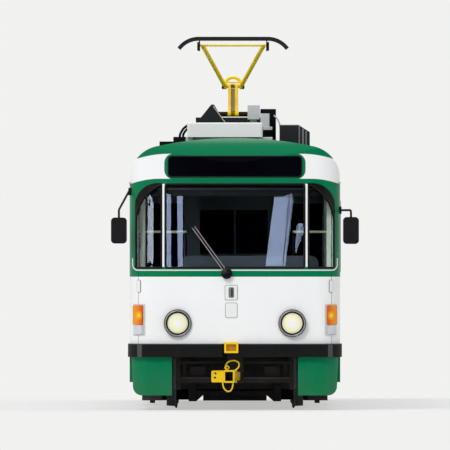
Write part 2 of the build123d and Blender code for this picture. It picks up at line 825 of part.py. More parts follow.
def lamp_form(radius, rim, back, front, recess):
    """Round lamp on the Y axis, facing -Y: a rim round a raised lens with a rounded edge."""
    lens = radius - rim
    with BuildPart() as lamp:
        with BuildSketch(Plane.XZ.offset(back)):
            Circle(radius)
        extrude(amount=front - back)
        chamfer(lamp.edges().group_by(Axis.Y)[0], 4)
        with BuildSketch(Plane.XZ.offset(front - recess)):
            Circle(lens)
        extrude(amount=recess, mode=Mode.SUBTRACT)
        with BuildSketch(Plane.XZ.offset(front - recess)):
            Circle(lens - 4)
        extrude(amount=recess - 3)
        fillet(lamp.edges(Select.LAST).group_by(Axis.Y)[0], 8)
    return lamp.part


headlamp = lamp_form(lamp_radius, lamp_radius - lens_radius, rim_back, rim_front, 22)
with BuildPart() as headlamps:
    for x in (-lamp_x, lamp_x):
        add(headlamp.moved(Location((x, 0, lamp_z))))

tail_lamp = lamp_form(tail_radius, 12, tail_back, skin_end - 6, 12)
with BuildPart() as tail_lamps:
    for x, z in [(s * tail_x, z) for s in (-1, 1) for z in tail_zs]:
        add(tail_lamp.moved(Location((x, 0, z))))

# Corner lamps lie on the skin: the columns are x from, x to, foot, head, stand-out.
corner_table = [
    (1067, 1204, 888, 1256, 8),
    (1100, 1204, 1013, 1244, 26),
    (1094, 1181, 899, 1010, 18),
]

with BuildPart() as corner_lamps:
    for x0, x1, z0, z1, out in corner_table:
        with BuildSketch(Plane.XY.offset(z0)):
            add(nose_outline(-out))
            add(nose_outline(0), mode=Mode.SUBTRACT)
            with Locations((0, -3100)):
                Rectangle(3 * body_half_width, 6200, mode=Mode.SUBTRACT)
            with Locations(((x0 + x1) / 2, -6600), (-(x0 + x1) / 2, -6600)):
                Rectangle(x1 - x0, 1000, mode=Mode.INTERSECT)
        extrude(amount=z1 - z0)

with BuildPart() as destination_display:
    add(shell.part)
    with BuildSketch(Plane.XZ):
        with Locations((0, (display_foot + display_head) / 2)):
            RectangleRounded(2 * (display_half - seat_gap), display_head - display_foot - 2 * seat_gap, 39)
    extrude(amount=2 * skin_end, mode=Mode.INTERSECT)

with BuildPart() as wiper:
    with BuildSketch(wiper_plane.offset(4)):
        Circle(64)
    extrude(amount=34)
    with BuildSketch(wiper_plane.offset(-30)):
        Circle(spindle)
    extrude(amount=34)
    with BuildSketch(wiper_plane.offset(20)):
        with PolarLocations(0, 1, start_angle=90 + wiper_lean):
            with Locations((wiper_arm / 2, 16), (wiper_arm / 2, -16)):
                Rectangle(wiper_arm, 12)
            with Locations((wiper_arm, 0), (wiper_arm * 0.55, 0)):
                Rectangle(24, 44)
    extrude(amount=12)
    with BuildSketch(wiper_plane.offset(blade_clear)):
        with PolarLocations(0, 1, start_angle=90 + wiper_lean):
            with Locations((wiper_reach - blade_length / 2, 0)):
                Rectangle(blade_length, 18)
    extrude(amount=10)

# Mirrors on bent arms: the columns are side, box x, box foot, box head, arm head, foot z.
mirror_y = -6760
mirror_foot_y = -6455
arm_radius = 13
mirror_table = [
    (-1, -1376, 1975, 2284, 2376, 2592),
    (1, 1376, 1970, 2290, 2371, 2371),
]
mirror_half = 94

with BuildPart() as mirrors:
    for side, x, foot, head, arm_head, arm_foot in mirror_table:
        with BuildSketch(Plane.XZ.offset(-mirror_y - 45)):
            with Locations((x, (foot + head) / 2)):
                RectangleRounded(2 * mirror_half, head - foot, 45)
        extrude(amount=90)
        with BuildLine() as route:
            FilletPolyline((x, mirror_y, head - 20), (x, mirror_y, arm_head),
                           (side * (body_half_width + 10), mirror_foot_y, arm_foot), radius=30)
        with BuildSketch(Plane(origin=(x, mirror_y, head - 20), z_dir=(0, 0, 1))):
            Circle(arm_radius)
        sweep(path=route.wires()[0])
        with BuildSketch(Plane.YZ.offset(side * (body_half_width - 60))):
            with Locations((mirror_foot_y, arm_foot)):
                RectangleRounded(62, 90, 12)
        extrude(amount=side * 76)
    add(outer_form, mode=Mode.SUBTRACT)

# Guard frame under the nose, and the lifeguard ahead of the front wheels.
post_x = 695
post_width = 90
post_y = -6300
post_foot = 238
bar_foot = 320
bar_head = 384

with BuildPart() as guard_frame:
    with BuildSketch(Plane.XZ.offset(-post_y - 25)):
        with Locations((-post_x, (post_foot + sill_foot) / 2), (post_x, (post_foot + sill_foot) / 2)):
            Rectangle(post_width, sill_foot - post_foot)
        with Locations((0, (bar_foot + bar_head) / 2)):
            Rectangle(2 * post_x, bar_head - bar_foot)
        with Locations((0, 560)):
            Rectangle(2 * post_x, 26)
    extrude(amount=50)

life_y = -4960
apron_half = 655
apron_foot = 235
apron_clear = 20
apron_head = mid_tread - sheet - apron_clear
with BuildPart() as lifeguard:
    with BuildSketch(Plane.XZ.offset(-life_y)):
        with BuildLine():
            Polyline((-551, 89), (-462, 89), (-380, 161), (380, 161), (462, 89), (551, 89), (551, 297),
                     (462, 297), (462, 216), (-462, 216), (-462, 297), (-551, 297), close=True)
        make_face()
    extrude(amount=40)
    with BuildSketch(Plane.XZ.offset(-life_y)):
        with Locations((0, (apron_head + apron_foot) / 2)):
            Rectangle(2 * apron_half, apron_head - apron_foot)
        with Locations((0, (sill_foot + apron_foot) / 2)):
            Rectangle(2 * (mid_tread_in - apron_clear), sill_foot - apron_foot)
    extrude(amount=20)
    with BuildSketch(Plane.YZ):
        with BuildLine():
            Polyline((life_y, 190), (life_y, 165), (life_y + 230, 95), (life_y + 230, 115), close=True)
        make_face()
    extrude(amount=380, both=True)

# Coupler, folded: a drawbar on its pin, an open socket at its end and the head folded beside it.
coupler_swing = 11
drawbar_length = 330
socket_width = 131
socket_height = 150
socket_length = 130
head_width = 150
head_height = 140
head_length = 250
head_from = drawbar_length - head_length + 30
hole_at = 190
hole_radius = 20


def coupler_form():
    """Folded coupler of the front end, swung towards the doors."""
    pull = Plane(origin=(0, -coupler_pivot, coupler_z), x_dir=(0, 0, 1),
                 z_dir=(-sin(radians(coupler_swing)), -cos(radians(coupler_swing)), 0))
    with BuildPart() as coupler:
        with BuildSketch(Plane.XY.offset(coupler_z - drawbar_height / 2)):
            with Locations((0, -coupler_pivot)):
                Circle(62)
        extrude(amount=drawbar_height)
        with BuildSketch(pull):
            Rectangle(drawbar_height - 14, drawbar_width - 14)
        extrude(amount=drawbar_length)
        with BuildSketch(pull.offset(drawbar_length - socket_length)):
            Rectangle(socket_height, socket_width)
        extrude(amount=socket_length + 40)
        with BuildSketch(pull.offset(drawbar_length - socket_length + 30)):
            Rectangle(socket_height - 44, socket_width - 40)
        extrude(amount=socket_length + 60, mode=Mode.SUBTRACT)
        with BuildSketch(pull.offset(head_from)):
            with Locations((0, (socket_width + head_width) / 2)):
                RectangleRounded(head_height, head_width, 18)
        extrude(amount=head_length)
        with BuildSketch(Plane.XY.offset(coupler_z - drawbar_height)):
            with Locations((0, -coupler_pivot)):
                Circle(coupler_bore)
        extrude(amount=2 * drawbar_height, mode=Mode.SUBTRACT)
        hole = pull.origin + pull.z_dir * (head_from + hole_at) + pull.y_dir * (socket_width + head_width) / 2
        with BuildSketch(Plane.XY.offset(coupler_z - head_height)):
            with Locations((hole.X, hole.Y)):
                Circle(hole_radius)
        extrude(amount=2 * head_height, mode=Mode.SUBTRACT)
    return coupler.part


front_coupler = coupler_form()

# Gear on the roof. What stands on the roof is cut to its curve.
box_mid_x = -119
roof_box_width = 900
roof_box_ys = (-5350, -4050)
roof_box_foot = 3244
roof_box_head = 3417

with BuildPart() as roof_box:
    with BuildSketch(Plane.XY.offset(roof_box_foot)):
        with Locations((box_mid_x, sum(roof_box_ys) / 2)):
            RectangleRounded(roof_box_width, roof_box_ys[1] - roof_box_ys[0], 30)
    extrude(amount=roof_box_head - roof_box_foot)
    fillet(roof_box.edges().group_by(Axis.Z)[-1], 18)
    with BuildSketch(Plane.XY.offset(roof_box_foot - 120)):
        with Locations((box_mid_x + 35, roof_box_ys[0] + 200), (box_mid_x + 35, roof_box_ys[1] - 200)):
            Rectangle(1060, 70)
    extrude(amount=120)
    add(outer_form, mode=Mode.SUBTRACT)

resistor_xs = (539, 900)
resistor_ys = (-3900, -2300)
groove_count = 14
groove_pitch = 108
with BuildPart() as resistor_box:
    with BuildSketch(Plane.XZ.offset(-resistor_ys[1])):
        with BuildLine():
            Polyline((resistor_xs[0], 3120), (resistor_xs[1], 3060), (resistor_xs[1], 3310),
                     (resistor_xs[1] - 138, 3398), (resistor_xs[0], 3398), close=True)
        make_face()
    extrude(amount=resistor_ys[1] - resistor_ys[0])
    for i in range(groove_count):
        with BuildSketch(Plane.XZ.offset(-resistor_ys[1] + 60 + i * groove_pitch)):
            with BuildLine():
                Polyline((1000, 3000), (1000, 3500), (756, 3500), (756, 3386), (resistor_xs[1] - 15, 3303),
                         (resistor_xs[1] - 15, 3000), close=True)
            make_face()
        extrude(amount=groove_pitch / 2, mode=Mode.SUBTRACT)
    add(outer_form, mode=Mode.SUBTRACT)

# Roof cabinets on posts: the columns are x from, x to, y from, y to, foot, head.
cabinet_table = [
    (154, 299, -3620, -3300, 3465, 3633),
    (308, 417, -3760, -3460, 3375, 3534),
]
post_side = 80

with BuildPart() as roof_cabinets:
    for x0, x1, y0, y1, foot, head in cabinet_table:
        with BuildSketch(Plane.XY.offset(foot)):
            with Locations(((x0 + x1) / 2, (y0 + y1) / 2)):
                RectangleRounded(x1 - x0, y1 - y0, 12)
        extrude(amount=head - foot)
        with BuildSketch(Plane.XY.offset(roof_top - 100)):
            with Locations(((x0 + x1) / 2, (y0 + y1) / 2)):
                RectangleRounded(post_side, 2 * post_side, 8)
        extrude(amount=foot - roof_top + 100)
    add(outer_form, mode=Mode.SUBTRACT)

# Pantograph: a base on insulators, a lower arm, a forked upper arm and the collector head.
pan_x = -20
base_y = -2900
base_z = 3530
lower_length = 1300
lower_rise = 347
upper_length = 1500
upper_rise = 479
knee_y = base_y + sqrt(lower_length**2 - lower_rise**2)
knee_z = base_z + lower_rise
head_y = knee_y - sqrt(upper_length**2 - upper_rise**2)
head_z = knee_z + upper_rise
frame_half = 420
frame_ys = (-3050, -1350)
frame_foot = 3423
frame_head = 3490
shaft = 30
knee_shaft = 22
head_shaft = 12
arm_tube = 19
arm_spread = 42
bow_rise = 96

with BuildSketch() as cheek:
    with BuildLine():
        Polyline((base_y - 70, frame_foot), (base_y + 190, frame_foot), (base_y + 190, frame_head),
                 (base_y + 50, base_z + 45), (base_y - 50, base_z + 45), (base_y - 70, frame_head), close=True)
    make_face()

with BuildPart() as pantograph_base:
    with BuildSketch(Plane.XY.offset(frame_foot)):
        with Locations((pan_x - frame_half, sum(frame_ys) / 2), (pan_x + frame_half, sum(frame_ys) / 2)):
            Rectangle(60, frame_ys[1] - frame_ys[0])
        with Locations([(pan_x, y) for y in (frame_ys[0] + 30, base_y + 160, frame_ys[1] - 30)]):
            Rectangle(2 * frame_half, 60)
    extrude(amount=frame_head - frame_foot)
    with BuildSketch(Plane.XY.offset(frame_foot - 260)):
        with Locations([(pan_x + s * frame_half, y) for s in (-1, 1) for y in (frame_ys[0] + 120, frame_ys[1] - 120)]):
            Circle(55)
    extrude(amount=260)
    for s in (-1, 1):
        with BuildSketch(Plane.YZ.offset(pan_x + s * 190)):
            add(cheek.sketch)
        extrude(amount=s * 30)
    add(outer_form, mode=Mode.SUBTRACT)
    with BuildSketch(Plane.YZ.offset(pan_x)):
        with Locations((base_y, base_z)):
            Circle(shaft + pin_gap)
    extrude(amount=300, both=True, mode=Mode.SUBTRACT)
    with BuildSketch(Plane.XZ.offset(-frame_ys[0] - 30)):
        with BuildLine():
            Polyline((-464, frame_foot), (-118, frame_foot), (-250, 3646), (-284, 3646), close=True)
        make_face()
    extrude(amount=26)


def tube(points, radius):
    """Straight tube between two points, or a bow through three."""
    with BuildLine() as route:
        if len(points) == 2:
            Line(*points)
        else:
            ThreePointArc(*points)
    with BuildSketch(Plane(origin=route.line @ 0, z_dir=route.line % 0)) as ring:
        Circle(radius)
    sweep(ring.sketch, path=route.line)


with BuildPart() as lower_arm:
    with BuildSketch(Plane.YZ.offset(pan_x)):
        with Locations((base_y, base_z)):
            Circle(shaft)
    extrude(amount=235, both=True)
    for s in (-1, 1):
        tube([(pan_x + s * arm_spread, base_y, base_z), (pan_x + s * arm_spread, knee_y, knee_z)], arm_tube)
    with BuildSketch(Plane.YZ.offset(pan_x)):
        with Locations(((base_y + knee_y) / 2, (base_z + knee_z) / 2)):
            Rectangle(lower_length - 240, 12, rotation=degrees(atan2(lower_rise, knee_y - base_y)))
    extrude(amount=arm_spread, both=True)
    with BuildSketch(Plane.YZ.offset(pan_x)):
        with Locations((knee_y, knee_z)):
            Circle(knee_shaft)
    extrude(amount=120, both=True)

with BuildPart() as upper_arm:
    for s in (-1, 1):
        with BuildSketch(Plane.YZ.offset(pan_x + s * 78)):
            with Locations((knee_y, knee_z)):
                Circle(knee_shaft + 16)
        extrude(amount=s * 34)
        tube([(pan_x + s * 98, knee_y, knee_z), (pan_x + s * 368, head_y, head_z)], arm_tube - 2)
    with BuildSketch(Plane.YZ.offset(pan_x)):
        with Locations((knee_y, knee_z)):
            Circle(knee_shaft + pin_gap)
    extrude(amount=130, both=True, mode=Mode.SUBTRACT)
    with BuildSketch(Plane.YZ.offset(pan_x)):
        with Locations((head_y, head_z)):
            Circle(head_shaft)
    extrude(amount=425, both=True)
    tube([(pan_x - 88, knee_y, knee_z + 30), (pan_x, knee_y, knee_z + bow_rise),
          (pan_x + 88, knee_y, knee_z + 30)], 11)

strip_flat = 415
horn_reach = 652
strip_top = 4460
horn_foot = 4294
strip_height = 46
strip_width = 40
strip_pitch = 150

bracket_x = 405
bracket_thick = 14

with BuildPart() as collector_head:
    for y in (head_y - strip_pitch, head_y + strip_pitch):
        with BuildSketch(Plane.XZ.offset(-y - strip_width / 2)):
            with BuildLine():
                bar = Line((pan_x - strip_flat, strip_top - strip_height / 2),
                           (pan_x + strip_flat, strip_top - strip_height / 2))
                TangentArc(bar @ 1, (pan_x + horn_reach, horn_foot + strip_height / 2), tangent=(1, 0))
                TangentArc(bar @ 0, (pan_x - horn_reach, horn_foot + strip_height / 2), tangent=(-1, 0))
            trace(line_width=strip_height)
        extrude(amount=strip_width)
    for s in (-1, 1):
        with BuildSketch(Plane.YZ.offset(pan_x + s * bracket_x - bracket_thick / 2)):
            with BuildLine():
                Polyline((head_y - strip_pitch, strip_top - strip_height), (head_y - 45, head_z - 55),
                         (head_y - 45, 4288), (head_y + 45, 4288), (head_y + 45, head_z - 55),
                         (head_y + strip_pitch, strip_top - strip_height), close=True)
            make_face()
            with Locations((head_y, head_z)):
                Circle(head_shaft + pin_gap, mode=Mode.SUBTRACT)
        extrude(amount=bracket_thick)

# Every node by name. Bogies, motors and wheelsets are placed copies of one form.
nodes = {
    "underframe": underframe.part,
    "floor": floor.part,
    "step_wells": step_wells.part,
    "left_side_wall": left_side_wall.part,
    "right_side_wall": right_side_wall.part,
    "roof": roof.part,
    "front_end": front_end.part,
    "rear_end": rear_end.part,
    "cab_partition": cab_partition.part,
    "windscreen": windscreen.part,
    "rear_window": rear_window.part,
    "left_windows": left_windows.part,
    "right_windows": right_windows.part,
    "front_bumper": front_bumper.part,
    "rear_bumper": rear_bumper.part,
    "bumper_sockets": bumper_sockets.part,
    "headlamps": headlamps.part,
    "corner_lamps": corner_lamps.part,
    "tail_lamps": tail_lamps.part.mirror(Plane.XZ),
    "destination_display": destination_display.part,
    "wiper": wiper.part,
    "mirrors": mirrors.part,
    "guard_frame": guard_frame.part,
    "lifeguard": lifeguard.part,
    "equipment_boxes": equipment_boxes.part,
    "driver_desk": driver_desk.part,
    "driver_seat": driver_seat.part,
    "left_seats": left_seats.part,
    "right_seats": right_seats.part,
    "grab_poles": grab_poles.part,
    "roof_box": roof_box.part,
    "resistor_box": resistor_box.part,
    "roof_cabinets": roof_cabinets.part,
    "pantograph_base": pantograph_base.part,
    "lower_arm": lower_arm.part,
    "upper_arm": upper_arm.part,
    "collector_head": collector_head.part,
    "front_coupler": front_coupler,
    "rear_coupler": front_coupler.mirror(Plane.XZ),
}
for end, y in (("front", -bogie_pitch), ("rear", bogie_pitch)):
    nodes[f"{end}_bogie_frame"] = bogie_frame.moved(Location((0, y, 0)))
    nodes[f"{end}_motors"] = bogie_motors.moved(Location((0, y, 0)))
    for place, offset_y in (("leading", -axle_pitch), ("trailing", axle_pitch)):
        nodes[f"{end}_bogie_{place}_wheelset"] = wheelset_form.moved(Location((0, y + offset_y, 0)))
nodes.update(leaves)

for name, solid in nodes.items():
    piece = Part(solid.wrapped)
    piece.label = name
    export_step(piece, f"parts/{name}.step")
    box = piece.bounding_box()
    print(f"{name}: {len(piece.solids())} solids, {box.min.X:.0f} {box.max.X:.0f}"
          f" {box.min.Y:.0f} {box.max.Y:.0f} {box.min.Z:.0f} {box.max.Z:.0f}")
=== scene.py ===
import bpy
import numpy as np
from functools import partialmethod
from math import asin, atan, cos, pi, radians, sin
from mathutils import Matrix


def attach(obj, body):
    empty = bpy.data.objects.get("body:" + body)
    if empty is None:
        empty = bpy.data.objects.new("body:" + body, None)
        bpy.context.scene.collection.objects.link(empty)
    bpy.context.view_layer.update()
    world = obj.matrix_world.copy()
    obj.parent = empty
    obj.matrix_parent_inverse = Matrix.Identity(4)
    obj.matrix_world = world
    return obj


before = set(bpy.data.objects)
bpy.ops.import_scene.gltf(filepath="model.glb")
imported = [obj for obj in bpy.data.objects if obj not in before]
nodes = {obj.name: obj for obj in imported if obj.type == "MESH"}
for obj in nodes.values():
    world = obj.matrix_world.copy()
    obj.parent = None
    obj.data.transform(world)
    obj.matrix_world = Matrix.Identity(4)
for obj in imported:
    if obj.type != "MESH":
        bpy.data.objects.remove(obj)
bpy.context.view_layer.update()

# Camera. It looks along +Y from far off, so that the front shows almost without perspective.
# The frame is 5.332 m wide at the nose, and its middle is 2.195 m up, a little to the doors' side.
view_width = 5.332
view_distance = 240.0
view_x = -0.118
view_z = 2.195
nose_front = -6.94
sensor = 18.0
eye = bpy.data.cameras.new("eye")
eye.sensor_width = sensor
eye.lens = sensor * view_distance / view_width
eye.clip_start = 2
eye.clip_end = 900
camera = bpy.data.objects.new("camera", eye)
camera.location = (view_x, nose_front - view_distance, view_z)
camera.rotation_euler = (pi / 2, 0, 0)
bpy.context.scene.collection.objects.link(camera)
bpy.context.scene.camera = camera


# Studio light: an even pale world, one wide soft sun from the front and above, and a weaker one behind.
# The soft boxes that the windscreen mirrors, and the floor, come at the end of the file.
class Graph:
    """A node tree with short calls for its nodes. Sums, masks and colours are given back as outputs."""

    def __init__(self, tree):
        self.tree = tree

    def feed(self, socket, value):
        """Puts a number, a colour or another node's output into a socket."""
        if isinstance(value, bpy.types.NodeSocket):
            self.tree.links.new(value, socket)
        elif isinstance(value, tuple) and len(value) == 3 and socket.type == "RGBA":
            socket.default_value = (*value, 1)
        else:
            socket.default_value = value

    def fill(self, node, sockets):
        """Feeds a node's sockets, called by name or number, and gives the node back."""
        for label, value in sockets.items():
            self.feed(node.inputs[label], value)
        return node

    def node(self, kind, sockets=None, **settings):
        """A new node of a kind, with its settings and with what goes into its sockets."""
        made = self.tree.nodes.new("ShaderNode" + kind)
        for key, value in settings.items():
            setattr(made, key, value)
        return self.fill(made, sockets or {})

    def math(self, operation, first, second=0.0, third=0.0):
        """One sum of up to three numbers or outputs."""
        return self.node("Math", {0: first, 1: second, 2: third}, operation=operation).outputs[0]

    # The sums used most: first + second, first - second, first * second, the larger, the size without its sign.
    plus = partialmethod(math, "ADD")
    less = partialmethod(math, "SUBTRACT")
    times = partialmethod(math, "MULTIPLY")
    larger = partialmethod(math, "MAXIMUM")
    size = partialmethod(math, "ABSOLUTE")

    def reach(self, across, up):
        """Length of a flat vector: sqrt(across^2 + up^2)."""
        return self.math("SQRT", self.plus(self.math("POWER", across, 2.0), self.math("POWER", up, 2.0)))

    def step(self, value, low, high):
        """Smooth step of value from 0 at low to 1 at high."""
        return self.node("MapRange", {0: value, 1: low, 2: high, 3: 0.0, 4: 1.0},
                         interpolation_type="SMOOTHSTEP").outputs[0]

    def within(self, value, low, high, soft=0.002):
        """1 where low < value < high, with a soft edge."""
        return self.times(self.step(value, low - soft, low + soft),
                          self.less(1.0, self.step(value, high - soft, high + soft)))

    def mix(self, share, first, second):
        """Colour between first and second by share."""
        return self.node("Mix", {0: share, 6: first, 7: second}, data_type="RGBA").outputs[2]

    def place(self):
        """The x, y and z outputs of Object coordinates."""
        return self.node("SeparateXYZ", {0: self.node("TexCoord").outputs["Object"]}).outputs

    def noise(self, scale, detail, rough=0.5, stretch=None):
        """Cloudy noise from 0 to 1 on Object coordinates, at so many cells a metre, maybe stretched."""
        where = self.node("TexCoord").outputs["Object"]
        if stretch:
            where = self.node("Mapping", {"Vector": where, "Scale": stretch}).outputs[0]
        cloudy = {"Vector": where, "Scale": scale, "Detail": detail, "Roughness": rough}
        return self.node("TexNoise", cloudy).outputs["Fac"]


bpy.context.scene.view_settings.view_transform = "Standard"
background_colour = (0.93, 0.93, 0.92, 1)
background_strength = 0.95
world = bpy.data.worlds.new("studio")
bpy.context.scene.world = world
world.use_nodes = True
world.node_tree.nodes.clear()
graph = Graph(world.node_tree)
rays = graph.node("LightPath").outputs
seen = graph.larger(graph.larger(rays["Is Camera Ray"], rays["Is Transmission Ray"]), rays["Is Glossy Ray"])
lit = graph.node("Background", {"Color": (0.96, 0.98, 1), "Strength": 0.62})
shown = graph.node("Background", {"Color": background_colour, "Strength": background_strength})
either = graph.node("MixShader", {0: seen, 1: lit.outputs[0], 2: shown.outputs[0]})
graph.node("OutputWorld", {0: either.outputs[0]})

# Suns: name, strength, width of the disc in degrees, tilt and turn.
for name, strength, width, tilt, turn in (("key", 1.35, 18, 48, -28), ("back", 0.5, 40, 42, 160)):
    sun = bpy.data.lights.new(name, "SUN")
    sun.energy = strength
    sun.angle = radians(width)
    lamp = bpy.data.objects.new(name, sun)
    lamp.rotation_euler = (radians(tilt), 0, radians(turn))
    bpy.context.scene.collection.objects.link(lamp)


# Paint shop. Three effects that most finishes share are shader node groups, each built once: road film,
# surface grain and chips.
def effect(name, inputs, outputs):
    """A shared shader node group with named number inputs and outputs, its graph and its end nodes."""
    group = bpy.data.node_groups.new(name, "ShaderNodeTree")
    for label, value in inputs.items():
        socket = group.interface.new_socket(label, in_out="INPUT", socket_type="NodeSocketFloat")
        socket.default_value = value
    for label in outputs:
        group.interface.new_socket(label, in_out="OUTPUT", socket_type="NodeSocketFloat")
    return group, Graph(group), group.nodes.new("NodeGroupInput").outputs, group.nodes.new("NodeGroupOutput")


# Road film: dust and brake dirt, thick at the wheels and gone by the windows, in soft clouds and runs.
film, graph, given, out = effect("road_film", {"Top": 0.9, "Amount": 0.5}, ["Mask"])
fall = graph.larger(graph.less(1.0, graph.math("DIVIDE", graph.place()[2], given["Top"])), 0.0)
cloud = graph.math("MULTIPLY_ADD", graph.noise(scale=5.0, detail=6.0), 1.5, -0.15)
runs = graph.plus(graph.noise(scale=26.0, detail=4.0, stretch=(1, 1, 0.12)), 0.25)
mask = graph.times(graph.times(graph.times(fall, cloud), runs), given["Amount"])
graph.fill(out, {"Mask": graph.math("MINIMUM", mask, 1.0)})

# Surface grain: fine height and a roughness that drifts over the piece.
grain, graph, given, out = effect("grain", {"Scale": 400.0, "Roughness": 0.4, "Drift": 0.1},
                                  ["Height", "Roughness"])
drift = graph.times(graph.less(graph.noise(scale=3.5, detail=5.0), 0.5), given["Drift"])
graph.fill(out, {"Height": graph.noise(given["Scale"], detail=2.0),
                 "Roughness": graph.plus(drift, given["Roughness"])})

# Chips: paint worn off in specks, more of them where the noise is high.
chips, graph, given, out = effect("chips", {"Scale": 30.0, "Amount": 0.3}, ["Mask"])
edge = graph.less(0.85, graph.times(given["Amount"], 0.4))
graph.fill(out, {"Mask": graph.math("GREATER_THAN", graph.noise(given["Scale"], detail=8.0, rough=0.7), edge)})


def new_material(name):
    """A material with its graph, its Principled shader and the socket that takes its surface."""
    made = bpy.data.materials.new(name)
    made.use_nodes = True
    tree = made.node_tree
    return made, Graph(tree), tree.nodes["Principled BSDF"], tree.nodes["Material Output"].inputs[0]


road_dirt = (0.16, 0.12, 0.085)
grain_height = 0.002
coat_rough = 0.06


def finish(name, colour, rough=0.4, metal=0.0, bump=0.1, scale=400.0, film_amount=0.0, film_top=0.9,
           chip=0.0, under=(0.05, 0.04, 0.035), coat=0.0, tint=0.06, shine=0.15):
    """A material: its colour, plain or drawn by a function, drifts by the tint, with grain, chips down to
    an undercoat and road film."""
    made, graph, shader, _ = new_material(name)
    base = colour(graph) if callable(colour) else colour
    drift = graph.math("MULTIPLY_ADD", graph.noise(scale=2.3, detail=4.0), 2 * tint, 1.0 - tint)
    base = graph.node("HueSaturation", {"Color": base, "Value": drift}).outputs[0]
    if chip:
        worn = graph.node("Group", node_tree=chips)
        base = graph.mix(graph.fill(worn, {"Amount": chip}).outputs["Mask"], base, under)
    if film_amount:
        dirt = graph.node("Group", node_tree=film)
        graph.fill(dirt, {"Top": film_top, "Amount": film_amount})
        base = graph.mix(dirt.outputs["Mask"], base, road_dirt)
    skin = graph.node("Group", node_tree=grain)
    graph.fill(skin, {"Scale": scale, "Roughness": rough})
    relief = graph.node("Bump", {"Strength": bump, "Distance": grain_height, "Height": skin.outputs["Height"]})
    graph.fill(shader, {"Base Color": base, "Roughness": skin.outputs["Roughness"], "Metallic": metal,
                        "Coat Weight": coat, "Coat Roughness": coat_rough, "Specular IOR Level": shine,
                        "Normal": relief.outputs[0]})
    return made


def dress(material, *names):
    """Gives CAD nodes their finish, in place of the plain one that they come with."""
    for name in names:
        slots = nodes[name].data.materials
        slots.clear()
        slots.append(material)


# Body paint, sprayed on the steel shell: green, with a white waist band below the windows, a white band
# at the level of the destination box that stops short of it in rounded ends, and white window pillars.
# The outer heads of the end screens have a black painted border, and the skin behind each bumper's gap is
# painted black as painted shade in the recess.
green = (0.0, 0.188, 0.074)
white = (0.93, 0.925, 0.925)
black = (0.008, 0.008, 0.008)
line_soft = 0.002
belt_foot = 0.788
belt_head = 1.582
sign_half = 0.838
sign_foot = 2.738
sign_head = 3.043
sign_corner = 0.11
pillar_x = 0.849
pillar_half = 0.0155
pillar_foot = 1.70
pillar_head = 2.683
seam_x = 1.145
seam_half = 0.0025
seam_head = 1.66
seam_dark = 0.75
ends_from = 6.2
gap_left, gap_right = -0.152, 0.064
gap_foot, gap_head = 0.62, 0.79
border_half = 1.187
border_head = 2.694
border_corner = 0.27
border_inner = 0.867
border_foot = 2.20


def band_edge(graph, out, start, width, drop, level):
    """Height of an edge of the upper band: level - drop ((out - start) / width)^2, and level before start."""
    way = graph.larger(graph.math("DIVIDE", graph.less(out, start), width), 0.0)
    return graph.math("MULTIPLY_ADD", graph.math("POWER", way, 2.0), -drop, level)


def past_corner(graph, out, up, centre_out, centre_up):
    """Reach from a rounded corner's centre: sqrt(a^2 + b^2) of the ways outwards and upwards of it."""
    a, b = graph.less(out, centre_out), graph.less(up, centre_up)
    return graph.reach(graph.larger(a, 0.0), graph.larger(b, 0.0))


def livery(graph):
    """Bands, pillars, seams, borders and the painted shade behind the bumper's gap are masks of x, y and z:
    first the white ones, then the black.
    """
    x, y, z = graph.place()
    out = graph.size(x)
    at_ends = graph.step(graph.size(y), ends_from, ends_from + 0.1)
    band_head = band_edge(graph, out, start=0.78, width=0.387, drop=0.06, level=3.04)
    band_foot = band_edge(graph, out, start=0.9, width=0.344, drop=0.064, level=2.744)
    band = graph.times(graph.step(graph.less(band_head, z), -line_soft, line_soft),
                       graph.step(graph.less(z, band_foot), -line_soft, line_soft))
    level = graph.size(graph.less(z, (sign_head + sign_foot) / 2))
    off_sign = past_corner(graph, out, level, sign_half - sign_corner,
                           (sign_head - sign_foot) / 2 - sign_corner)
    band = graph.times(band, graph.step(off_sign, sign_corner - line_soft, sign_corner + line_soft))
    pillar = graph.times(graph.within(out, pillar_x - pillar_half, pillar_x + pillar_half, line_soft),
                         graph.within(z, pillar_foot, pillar_head, line_soft))
    pale = graph.larger(graph.larger(graph.within(z, belt_foot, belt_head, line_soft), band),
                        graph.times(pillar, at_ends))
    seam = graph.times(graph.within(out, seam_x - seam_half, seam_x + seam_half, 0.001),
                       graph.within(z, belt_foot, seam_head, line_soft))
    # Painted shade: the skin in the recess behind the bumper's gap is painted black.
    gap = graph.times(graph.within(x, gap_left, gap_right, line_soft),
                      graph.within(z, gap_foot, gap_head, line_soft))
    bend = past_corner(graph, out, z, border_half - border_corner, border_head - border_corner)
    border = graph.less(1.0, graph.step(bend, border_corner - line_soft, border_corner + line_soft))
    beside = graph.times(graph.step(out, border_inner - 0.001, border_inner + 0.001),
                         graph.step(z, border_foot, border_foot + 0.005))
    border = graph.times(border, beside)
    # Dark marks: the real seams and borders, and the painted shade behind the gap.
    dark_and_shade = graph.larger(graph.larger(graph.times(seam, seam_dark), gap), border)
    return graph.mix(graph.times(dark_and_shade, at_ends), graph.mix(pale, green, white), black)


body_paint = finish("body_paint", livery, rough=0.28, bump=0.02, scale=120.0, film_amount=0.35, film_top=0.6,
                    coat=0.05, tint=0.03, shine=0.08)
dress(body_paint, "front_end", "rear_end", "left_side_wall", "right_side_wall", "roof")

# Door leaves: pressed steel in the body's green, with dark tinted panes. A pane lies 52 to 277 mm and 377 to
# 602 mm in from the jamb, and a jamb 0.65 m from the middle of its doorway, at y = 0 and 5.4 m either way.
doorway_pitch = 5.4
jamb_off = 0.65
pane_black = (0.012, 0.018, 0.02)


